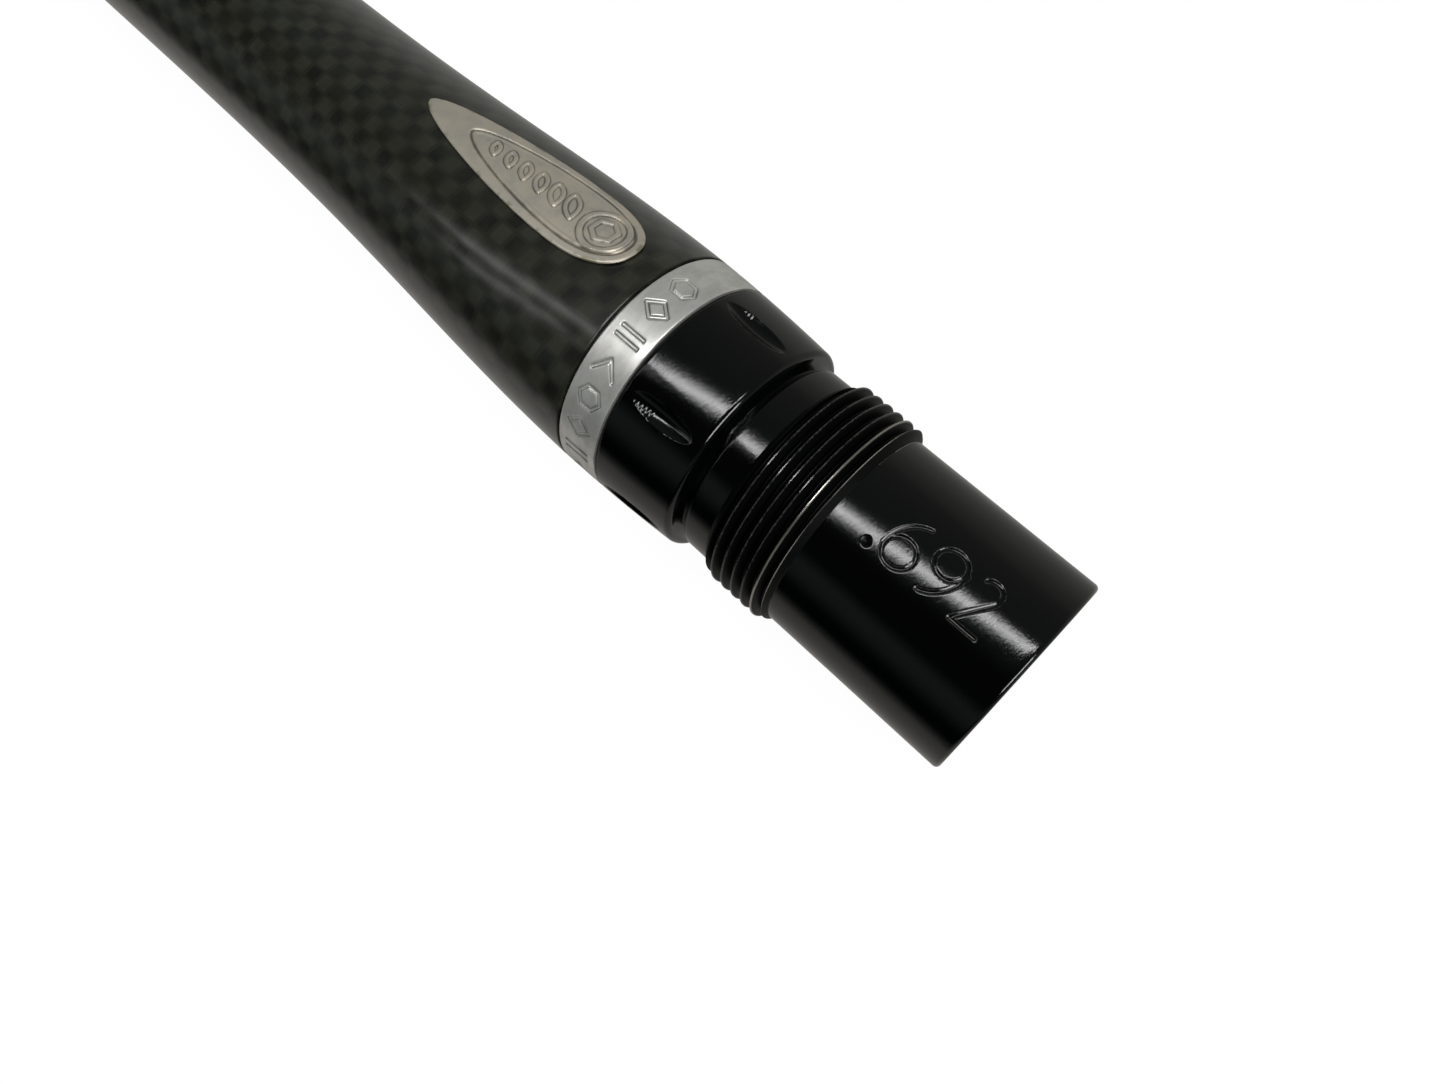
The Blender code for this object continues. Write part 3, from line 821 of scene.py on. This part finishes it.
def add_collar(back):
    """The relief groove by the shoulder, the rounded shoulder and the dimpled grip."""
    rounding, fillet = RELIEF_ROUNDING, RELIEF_FILLET
    back.outline([(-RELIEF_WIDTH - 2 * rounding, NECK_RADIUS)])
    back.outline(corner(-RELIEF_WIDTH - rounding, NECK_RADIUS - rounding, rounding, 90, 10, 5))
    back.outline(corner(-RELIEF_WIDTH + fillet, RELIEF_RADIUS + fillet, fillet, 190, 260, 3))
    back.outline([(RELIEF_SLOPE_END, RELIEF_RADIUS), (0, SEAT_INNER_RADIUS)])
    shoulder = grip_radius(COLLAR_ROUNDING) - COLLAR_ROUNDING
    back.outline(corner(COLLAR_ROUNDING, shoulder, COLLAR_ROUNDING, 180, 90, 10))
    dimple_start, dimple_end = DIMPLE_X - DIMPLE_HALF_LENGTH, DIMPLE_X + DIMPLE_HALF_LENGTH
    edge_start = COLLAR_END - BAND_CHAMFER
    places = [
        *steps(COLLAR_ROUNDING, dimple_start, 0.5 * MM)[1:],
        *steps(dimple_start, dimple_end, DIMPLED_STEP)[1:],
        *steps(dimple_end, edge_start, 0.3 * MM)[1:-1],
    ]
    back.follow(places, lambda x: grip_radius(x) - dimple_depth(x, back.angles))
    back.outline(corner(edge_start, grip_radius(COLLAR_END) - BAND_CHAMFER, BAND_CHAMFER, 90, 0, 4))


def add_joint(back):
    """Behind the collar: the pilot land with its groove, the joint thread and the control-bore tube."""
    fillet, edge = 0.1 * MM, 0.06 * MM
    groove_low, groove_high = PILOT_RING_X - PILOT_GROOVE_HALF, PILOT_RING_X + PILOT_GROOVE_HALF
    thread_start, thread_end = JOINT_THREAD_START - PITCH / 2, JOINT_CREST_END + THREAD_DEPTH
    back.outline([
        (COLLAR_END, PILOT_RADIUS + fillet),
        (COLLAR_END + fillet, PILOT_RADIUS),
        (groove_low - edge, PILOT_RADIUS),
        (groove_low, PILOT_RADIUS - edge),
        (groove_low, PILOT_GROOVE_RADIUS + edge),
        (groove_low + edge, PILOT_GROOVE_RADIUS),
        (groove_high - edge, PILOT_GROOVE_RADIUS),
        (groove_high, PILOT_GROOVE_RADIUS + edge),
        (groove_high, PILOT_RADIUS - edge),
        (groove_high + edge, PILOT_RADIUS),
        (JOINT_THREAD_START - PITCH, PILOT_RADIUS),
        (thread_start - 0.02 * MM, JOINT_ROOT),
    ])
    offsets = thread_offsets(CREST_HALF, THREAD_DEPTH, 2)
    back.thread(thread_start, thread_end, JOINT_CREST_X, offsets, joint_thread_radius)
    back.outline([
        (JOINT_THREAD_END, JOINT_ROOT),
        (JOINT_THREAD_END + JOINT_ROOT - TUBE_RADIUS, TUBE_RADIUS),
        (TUBE_END - TUBE_EDGE, TUBE_RADIUS),
        (TUBE_END, TUBE_RADIUS - TUBE_EDGE),
        (TUBE_END, BORE_RADIUS + TUBE_EDGE),
        (TUBE_END - TUBE_EDGE, BORE_RADIUS),
    ])


def make_barrel_back(material):
    zones = [DIGITS_ZONE]
    for index in range(DIMPLE_COUNT):
        zones.append((DIMPLE_FIRST_ANGLE + 360 / DIMPLE_COUNT * index, DIMPLE_ZONE_HALF, FINE_TURN))
    back = Turning(angle_lines(2.5, zones))
    add_nose(back)
    add_collar(back)
    add_joint(back)
    return back.close("barrel_back_fine", material, sharp=32, values={"wear": back_wear, "matt": back_dull_and_shaded})


def make_o_ring(name, x, mean_radius, thickness, material):
    ring = Turning(angle_lines(3.0))
    ring.outline(corner(x, mean_radius, thickness / 2, 180, -165, 23))
    return ring.close(name, material)


# ==== Front


def make_thread_insert(material):
    edge = 0.08 * MM
    mouth_end = JOINT_THREAD_START - (INSERT_MOUTH_RADIUS - NUT_MINOR_RADIUS)
    insert = Turning(angle_lines(2.5))
    insert.outline([
        (INSERT_START + edge, INSERT_MOUTH_RADIUS),
        (INSERT_START, INSERT_MOUTH_RADIUS + edge),
        (INSERT_START, INSERT_RADIUS - edge),
        (INSERT_START + edge, INSERT_RADIUS),
        (INSERT_TAPER_START, INSERT_RADIUS),
        (INSERT_TAPER_END, INSERT_TAIL_RADIUS),
        (INSERT_END - edge, INSERT_TAIL_RADIUS),
        (INSERT_END, INSERT_TAIL_RADIUS - edge),
        (INSERT_END, INSERT_BORE_RADIUS + edge),
        (INSERT_END - edge, INSERT_BORE_RADIUS),
        (TIP_RING_X + TIP_GLAND_HALF, INSERT_BORE_RADIUS),
        (TIP_RING_X + TIP_GLAND_HALF, TIP_GLAND_RADIUS),
        (TIP_RING_X - TIP_GLAND_HALF, TIP_GLAND_RADIUS),
        (TIP_RING_X - TIP_GLAND_HALF, INSERT_BORE_RADIUS),
        (INSERT_TAPER_END - PITCH, INSERT_BORE_RADIUS),
    ])
    offsets = thread_offsets(CREST_HALF + NUT_SIDE_CLEARANCE, THREAD_DEPTH, 2)
    thread_end = INSERT_TAPER_START + PITCH / 2
    insert.thread(mouth_end, thread_end, JOINT_CREST_X, offsets, nut_radius, backwards=True)
    return insert.close("thread_insert_fine", material, sharp=30, values={"recess": nowhere})


def band_marks():
    """The stamped marks in turn: hexagon, diamond, two bars, chevron; each (round, along) in metres."""
    hexagon = arc(0, 0, 1.15, 1.32, 90, 450, 6)
    diamond = np.array([(0, 1.35), (1.05, 0), (0, -1.35), (-1.05, 0), (0, 1.35)])
    bars = [np.array([(side, 1.3), (side, -1.3)]) for side in (-0.5, 0.5)]
    chevron = np.array([(-0.8, 1.3), (0.8, 0), (-0.8, -1.3)])
    return [[line * MM for line in lines] for lines in ([hexagon], [diamond], bars, [chevron])]


def stamping_depth(x, angles):
    """Depth of the stamped marks at this place along the band, with the metal pushed up at their edges."""
    marks = band_marks()
    middle = (BAND_START + BAND_END) / 2
    depth = np.zeros(len(angles))
    for run in range(2):
        for place in range(MARKS_PER_RUN):
            angle = radians(MARK_ANGLE + MARK_STEP * place + 180 * run)
            round_distance = GRIP_PEAK_RADIUS * wrapped(angles, angle)
            close = np.abs(round_distance) < MARK_REACH
            lines = marks[place % len(marks)]
            gap = distance_to(lines, round_distance[close], np.full(close.sum(), x - middle))
            lip = MARK_LIP * bell(gap - MARK_HALF_WIDTH, 0.06 * MM)
            depth[close] += groove(gap, MARK_HALF_WIDTH, MARK_DEPTH) - lip
    return depth


def band_recess(points):
    """Where the band is darker: on the walls of the stamping, halfway down."""
    x, radius, _ = cylindrical(points)
    outside = radius > INSERT_RADIUS + 2 * GLUE_GAP
    share = np.clip((grip_radius(x) - radius) / MARK_DEPTH, 0, 1)
    return 4 * share * (1 - share) * outside


def make_accent_band(material):
    inner = INSERT_RADIUS + GLUE_GAP
    band = Turning(angle_lines(0.5))
    low, high = BAND_START + BAND_CHAMFER, BAND_END - BAND_CHAMFER
    band.ring(BAND_START, inner)
    band.outline(corner(low, grip_radius(BAND_START) - BAND_CHAMFER, BAND_CHAMFER, 180, 90, 4))
    band.follow(
        steps(low, high, STAMPED_STEP)[1:-1], lambda x: grip_radius(x) - stamping_depth(x, band.angles)
    )
    band.outline(corner(high, grip_radius(BAND_END) - BAND_CHAMFER, BAND_CHAMFER, 90, 0, 4))
    band.ring(BAND_END, inner)
    return band.close("accent_band_fine", material, sharp=40, values={"recess": band_recess})


def make_port_cutter():
    """Pins for all vent ports, each with a flared head that breaks the port's outer edge."""
    top = SHELL_TUBE_RADIUS + 1.0 * MM
    levels = [
        (SHELL_BORE_RADIUS - 1.5 * MM, PORT_RADIUS),
        (SHELL_TUBE_RADIUS - PORT_EDGE, PORT_RADIUS),
        (top, PORT_RADIUS + top - SHELL_TUBE_RADIUS + PORT_EDGE),
    ]
    points, faces = [], []
    for row in range(PORT_ROWS):
        turn = Matrix.Rotation(radians(PORT_ROW_ANGLE + 360 / PORT_ROWS * row), 3, "X")
        for place in range(PORTS_PER_ROW):
            x = FIRST_PORT_X + PORT_SPACING * (place + (row % 2) / 2)
            numbers = len(points) + np.arange(len(levels) * PORT_SIDES).reshape(-1, PORT_SIDES)
            for height, size in levels:
                circle = arc(x, 0, size, size, 0, 360, PORT_SIDES)[:-1]
                points += [turn @ Vector((px, py, height)) for px, py in circle]
            faces += faces_between(np.append(numbers, numbers[:, :1], axis=1))
            faces += [numbers[0, ::-1].tolist(), numbers[-1].tolist()]
    mesh = bpy.data.meshes.new("port_cutter")
    mesh.from_pydata(points, [], faces)
    return add("port_cutter", mesh)


def cut(target, cutter):
    """Cuts one object from another for good, and removes the cutter."""
    step = target.modifiers.new("ports", "BOOLEAN")
    step.operation = "DIFFERENCE"
    step.object = cutter
    evaluated = target.evaluated_get(bpy.context.evaluated_depsgraph_get())
    result = bpy.data.meshes.new_from_object(evaluated)
    target.modifiers.clear()
    target.data = result
    bpy.data.objects.remove(cutter, do_unlink=True)
    result.shade_smooth()
    result.set_sharp_from_angle(angle=radians(30))


def make_carbon_shell(material):
    socket = INSERT_RADIUS + GLUE_GAP
    tail_socket = INSERT_TAIL_RADIUS + GLUE_GAP
    tube_socket = TUBE_RADIUS + JOINT_GAP
    step_down = TUBE_END + JOINT_GAP
    edge = 0.08 * MM
    flare_start = SHELL_START + 2 * edge
    shell = Turning(angle_lines(2.0))
    shell.outline(corner(SHELL_START + edge, shell_radius(SHELL_START) - edge, edge, 180, 90, 3))
    shell.follow(steps(flare_start, SHELL_FLARE_END, PLAIN_STEP), shell_radius)
    shell.follow(steps(SHELL_FLARE_END, SHELL_END, TUBE_STEP)[1:], lambda x: SHELL_TUBE_RADIUS)
    shell.outline([
        (SHELL_END, SHELL_BORE_RADIUS),
        (step_down + tube_socket - SHELL_BORE_RADIUS, SHELL_BORE_RADIUS),
        (step_down, tube_socket),
        (INSERT_END + JOINT_GAP, tube_socket),
        (INSERT_END + JOINT_GAP, tail_socket),
        (INSERT_TAPER_END, tail_socket),
        (INSERT_TAPER_START, socket),
        (SHELL_START, socket),
    ])
    made = shell.close("carbon_shell_fine", material, sharp=30)
    cut(made, make_port_cutter())
    return made


def make_muzzle_ring(material):
    skirt = SHELL_TUBE_RADIUS + GLUE_GAP
    low, high = MUZZLE_CHAMFER / 2, MUZZLE_CHAMFER
    ring = Turning(angle_lines(2.0))
    ring.ring(MUZZLE_RING_START, skirt)
    ring.outline(corner(MUZZLE_RING_START + low, MUZZLE_RING_RADIUS - low, low, 180, 90, 4))
    ring.outline(corner(MUZZLE_X - high, MUZZLE_RING_RADIUS - high, high, 90, 0, 6))
    ring.outline(corner(MUZZLE_X - high, MUZZLE_MOUTH_RADIUS + high, high, 0, -90, 6))
    ring.ring(MUZZLE_X - MUZZLE_LIP, MUZZLE_MOUTH_RADIUS)
    ring.ring(MUZZLE_X - MUZZLE_LIP, skirt)
    return ring.close("muzzle_ring_fine", material, sharp=40, values={"wear": nowhere, "matt": nowhere})


# ==== Badge


def drop_half_width(along, length, widest, half_width):
    """Half the width of a blunt drop at this distance from its round end."""
    short = np.clip(1 - along / widest, 0, 1)
    toward_tip = np.clip((along - widest) / (length - widest), 0, 1)
    blunt = half_width * (1 - short**DROP_BLUNTNESS) ** (1 / DROP_BLUNTNESS)
    pointed = half_width * (1 - toward_tip**2) ** (DROP_TIP_POWER - DROP_TIP_ROUNDING * toward_tip)
    return np.where(along <= widest, blunt, pointed)


def both_sides(along, half):
    """A closed line of (along, across) points round a shape with this half width."""
    return np.concatenate([np.stack([along, half], axis=-1), np.stack([along, -half], axis=-1)[::-1]])


def drop_outline(start, length, widest, half_width, count=90):
    along = length * (1 - np.cos(np.linspace(0, pi, count))) / 2
    return both_sides(start + along, drop_half_width(along, length, widest, half_width))


def leaf(number):
    """A slim pointed leaf, slanting, and smaller than the one before it."""
    place = np.linspace(-1, 1, 13)
    along = FIRST_LEAF_ALONG + LEAF_SPACING * number
    size = LEAF_SIZE - LEAF_SHRINK * number
    line = size * both_sides(place, LEAF_SLIMNESS * (1 - place**2))
    cosine, sine = cos(radians(LEAF_SLANT)), sin(radians(LEAF_SLANT))
    return line @ np.array([[cosine, sine], [-sine, cosine]]) + (along, 0)


def raised(distance, half_width):
    """A raised line's height with a flat top and steep sides, as a share of its full height."""
    return 1 - smoothstep(half_width - RELIEF_SIDE, half_width + RELIEF_SIDE, distance)


def badge_face(along, across):
    """The badge's height over the shell, how much of a recess each point is, and how near the edge."""
    outline = drop_outline(0, BADGE_LENGTH, BADGE_WIDEST, BADGE_HALF_WIDTH)
    edge = distance_to([outline], along, across)
    oval_size = (OVAL_LENGTH, BADGE_WIDEST - OVAL_START, OVAL_HALF_WIDTH)
    oval_edge = distance_to([drop_outline(OVAL_START, *oval_size)], along, across)
    inner = (along > OVAL_START) & (along < OVAL_START + OVAL_LENGTH)
    inner = inner & (np.abs(across) < drop_half_width(along - OVAL_START, *oval_size))
    short = np.clip(1 - edge / BADGE_ROUNDING, 0, 1)
    plain = BADGE_TOP - (BADGE_TOP - BADGE_EDGE_HEIGHT) * (1 - np.sqrt(1 - short**2))
    rim_groove = groove(oval_edge, RIM_GROOVE_HALF_WIDTH, RELIEF_HEIGHT)
    field = smoothstep(0.35 * MM, 0.60 * MM, oval_edge) * inner
    hexagon = [arc(EMBLEM_ALONG, 0, HEXAGON_RADIUS, HEXAGON_RADIUS, 30, 390, 6)]
    leaves = [leaf(number) for number in range(LEAF_COUNT)]
    from_ring = np.abs(np.hypot(along - EMBLEM_ALONG, across) - EMBLEM_RADIUS)
    from_hexagon = distance_to(hexagon, along, across)
    from_leaf = distance_to(leaves, along, across)
    marks = np.maximum(raised(from_ring, EMBLEM_HALF_WIDTH), raised(from_hexagon, HEXAGON_HALF_WIDTH))
    marks = np.maximum(marks, raised(from_leaf, LEAF_HALF_WIDTH))
    beside = bell(np.minimum(from_leaf, from_hexagon) - 0.27 * MM, 0.08 * MM)
    beside += bell(from_ring - 0.36 * MM, 0.09 * MM)
    height = plain - rim_groove - FIELD_DEPTH * field + RELIEF_HEIGHT * marks
    recess = 0.9 * rim_groove / RELIEF_HEIGHT + 0.25 * field
    recess = np.clip(recess + 0.7 * beside - 0.6 * marks, 0, 1)
    return height, recess, 1 - smoothstep(0.1 * MM, 0.5 * MM, edge)


def film_face(along, across):
    """The adhesive film's plain face, in the same form as the badge's."""
    return np.full_like(along, ADHESIVE_TOP), np.zeros_like(along), np.zeros_like(along)


def bent_plate(name, inset, under, face, stations, columns, material):
    """A drop-shaped plate bent to the shell, with its grid a little finer towards its edges.

    face gives the height, recess and edge values of its top.
    """
    even = np.linspace(0, 1, stations + 1)
    eased = 0.45 * even + 0.55 * (1 - np.cos(even * pi)) / 2
    along = inset + (BADGE_LENGTH - 2 * inset) * eased
    half = drop_half_width(along, BADGE_LENGTH, BADGE_WIDEST, BADGE_HALF_WIDTH)
    half = np.maximum(half - inset, 0)
    half[[0, -1]] = 0
    line = np.linspace(-1, 1, columns + 1)
    share = 0.55 * line + 0.45 * np.sin(line * pi / 2)
    along_grid = np.repeat(along[:, None], columns + 1, axis=1)
    across_grid = half[:, None] * share[None, :]
    shell = shell_radius(BADGE_ORIGIN + along_grid)
    height, recess, edge = face(along_grid, across_grid)
    turn = (across_grid + BADGE_SHIFT) / (shell + under)
    top = polar(BADGE_ORIGIN + along_grid, shell + height, turn).reshape(-1, 3)
    bottom = polar(BADGE_ORIGIN + along_grid, shell + under, turn).reshape(-1, 3)
    above = np.arange(len(top)).reshape(stations + 1, columns + 1)
    above[0, :] = above[0, 0]
    above[-1, :] = above[-1, 0]
    below = above + len(top)
    left = np.stack([below[:, 0], above[:, 0]], axis=1)
    right = np.stack([above[:, -1], below[:, -1]], axis=1)
    faces = faces_between(above) + faces_between(below[:, ::-1])
    faces += faces_between(left) + faces_between(right)
    points = np.concatenate([top, bottom])
    values = {"recess": np.append(recess.ravel(), recess.ravel() * 0), "edge": np.tile(edge.ravel(), 2)}
    used, faces = without_loose_points(points, faces)
    kept = {key: numbers[used] for key, numbers in values.items()}
    return finish_mesh(name, points[used], faces, material, 40, kept)


# ==== Stage


# Camera: its directions as unit vectors, its place, and its lens in millimetres
CAMERA_RIGHT = (-0.7130, -0.6887, 0.1317)
CAMERA_UP = (0.6434, -0.5678, 0.5135)
CAMERA_BACK = (-0.2789, 0.4509, 0.8479)
CAMERA_PLACE = (-0.0325, 0.05425, 0.08356)
CAMERA_LENS = 26.21

# Long soft lights: name, start, end, thickness, the point that it faces, watts
LIGHTS = [
    ("strip_light", (-0.085, 0.001, 0.715), (0.252, 0.372, 0.550), 0.055, (0.0, 0.0, 0.01), 1.45),
    ("faint_streak", (0.262, 0.388, 0.515), (0.50, 0.44, 0.225), 0.035, (0.02, 0.0, 0.012), 0.14),
    ("fainter_streak", (0.37, 0.50, 0.30), (0.48, 0.50, 0.10), 0.03, (0.02, 0.0, 0.012), 0.055),
    ("fill", (-0.58, 0.52, 0.38), (-0.58, 0.02, 0.52), 0.22, (0.01, 0.0, 0.0), 3.7),
]

# Surroundings by angle round the barrel in degrees, from straight over the tilted table: brightness
TABLE_TILT = -33.0
SURROUNDINGS = [
    (-180, (0.36, 0.35, 0.33)),
    (-108, (0.34, 0.33, 0.31)),
    (-100, (0.11, 0.11, 0.11)),
    (-93, (0.0, 0.0, 0.0)),
    (-80, (0.002, 0.003, 0.003)),
    (-62, (0.11, 0.135, 0.125)),
    (-52, (0.13, 0.155, 0.145)),
    (-40, (0.01, 0.01, 0.008)),
    (-8, (0.008, 0.007, 0.004)),
    (22, (0.08, 0.098, 0.094)),
    (42, (0.115, 0.13, 0.122)),
    (78, (0.155, 0.158, 0.147)),
    (88, (0.235, 0.235, 0.222)),
    (112, (0.30, 0.30, 0.285)),
    (140, (0.28, 0.28, 0.265)),
    (160, (0.34, 0.34, 0.325)),
    (180, (0.36, 0.35, 0.33)),
]
FLOOR_REACH = 3.0


def facing(place, right, up, back):
    """A matrix for an object at this place that looks against back."""
    return Matrix.Translation(place) @ Matrix((right, up, back)).transposed().to_4x4()


def make_camera():
    camera = add("camera", bpy.data.cameras.new("camera"))
    camera.matrix_world = facing(CAMERA_PLACE, CAMERA_RIGHT, CAMERA_UP, CAMERA_BACK)
    camera.data.sensor_width = 36.0
    camera.data.lens = CAMERA_LENS
    camera.data.clip_start = 0.005
    bpy.context.scene.camera = camera


def make_strip_light(name, start, end, thickness, target, watts):
    """A long soft light between two points, facing a third."""
    start, end, target = Vector(start), Vector(end), Vector(target)
    middle = (start + end) / 2
    along = (end - start).normalized()
    side = (middle - target).normalized().cross(along).normalized()
    data = bpy.data.lights.new(name, "AREA")
    data.shape = "RECTANGLE"
    data.size = (end - start).length
    data.size_y = thickness
    data.energy = watts
    light = add(name, data)
    light.matrix_world = facing(middle, along, side, along.cross(side))
    light.visible_camera = False


def make_world():
    """Dark studio above and a bright table below, seen in reflections. The backdrop itself is white."""
    world = bpy.data.worlds.new("studio")
    bpy.context.scene.world = world
    world.use_nodes = True
    graph = Graph(world.node_tree)
    direction = graph.node("TexCoord").outputs["Generated"]
    _, y, z = graph.node("SeparateXYZ", {0: direction}).outputs
    sine, cosine = sin(radians(TABLE_TILT)), cos(radians(TABLE_TILT))
    upward = graph.plus(graph.times(y, -sine), graph.times(z, cosine))
    sideways = graph.plus(graph.times(y, -cosine), graph.times(z, -sine))
    share = graph.linear(graph.math("ARCTAN2", sideways, upward), 0.5 / pi, 0.5)
    ramp = graph.node("ValToRGB", {0: share})
    while len(ramp.color_ramp.elements) < len(SURROUNDINGS):
        ramp.color_ramp.elements.new(0.5)
    for element, (degrees, colour) in zip(ramp.color_ramp.elements, SURROUNDINGS):
        element.position = (degrees + 180) / 360
        element.color = (*colour, 1.0)
    seen = graph.node("Background", {0: (1.0, 1.0, 1.0), 1: 1.0})
    reflected = graph.node("Background", {0: ramp.outputs[0], 1: 1.0})
    camera_ray = graph.node("LightPath").outputs["Is Camera Ray"]
    mixed = graph.node("MixShader", {0: camera_ray, 1: reflected.outputs[0], 2: seen.outputs[0]})
    graph.node("OutputWorld", {"Surface": mixed.outputs[0]})


def make_floor():
    """A plain white floor that the camera sees. It glows a little, so that hardly any shadow shows."""
    mesh = bpy.data.meshes.new("floor")
    corners = [(-1, -1), (1, -1), (1, 1), (-1, 1)]
    points = [(FLOOR_REACH * x, FLOOR_REACH * y, FLOOR_Z) for x, y in corners]
    mesh.from_pydata(points, [], [(0, 1, 2, 3)])
    material, graph = new_material("white_floor")
    glow = graph.node("Emission", {0: (1.0, 1.0, 1.0), 1: 0.97})
    matt = graph.node("BsdfDiffuse", {0: (0.05, 0.05, 0.05)})
    graph.surface(graph.node("AddShader", {0: glow.outputs[0], 1: matt.outputs[0]}))
    mesh.materials.append(material)
    floor = add("floor", mesh)
    floor.visible_glossy = False
    floor.visible_diffuse = False


# ==== Assembly


def place(piece, body, node, slot):
    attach(piece, body)
    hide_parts(node)


def main():
    bpy.context.scene.view_settings.view_transform = "Standard"
    make_camera()
    make_world()
    make_floor()
    for light in LIGHTS:
        make_strip_light(*light)
    black = anodised_material()
    polished = brushed_material(
        "brushed_aluminium", (0.87, 0.86, 0.82), (0.075, 0.068, 0.055), 0.31, 0.003 * MM
    )
    turned = brushed_material(
        "turned_aluminium", (0.55, 0.55, 0.54), (0.10, 0.09, 0.08), 0.36, 0.002 * MM
    )
    rubber = rubber_material()
    place(make_barrel_back(black), "back", "barrel_back", "black_anodised")
    pilot = make_o_ring(
        "pilot_o_ring_fine", PILOT_RING_X, PILOT_RING_RADIUS, PILOT_RING_THICKNESS, rubber
    )
    place(pilot, "back", "pilot_o_ring", "nitrile_rubber")
    tip = make_o_ring("tip_o_ring_fine", TIP_RING_X, TIP_RING_RADIUS, TIP_RING_THICKNESS, rubber)
    place(tip, "tip_seal", "tip_o_ring", "nitrile_rubber")
    place(make_thread_insert(turned), "front", "thread_insert", "bare_aluminium")
    place(make_accent_band(polished), "front", "accent_band", "polished_aluminium")
    place(make_carbon_shell(carbon_material()), "front", "carbon_shell", "carbon_fibre")
    place(make_muzzle_ring(black), "front", "muzzle_ring", "muzzle_anodised")
    film = bent_plate(
        "badge_adhesive_fine", ADHESIVE_INSET, ADHESIVE_LIFT, film_face, 60, 16, adhesive_material()
    )
    place(film, "front", "badge_adhesive", "adhesive_film")
    badge = bent_plate("badge_plate_fine", 0.0, BADGE_LIFT, badge_face, 300, 96, nickel_material())
    place(badge, "front", "badge_plate", "nickel_badge")


main()
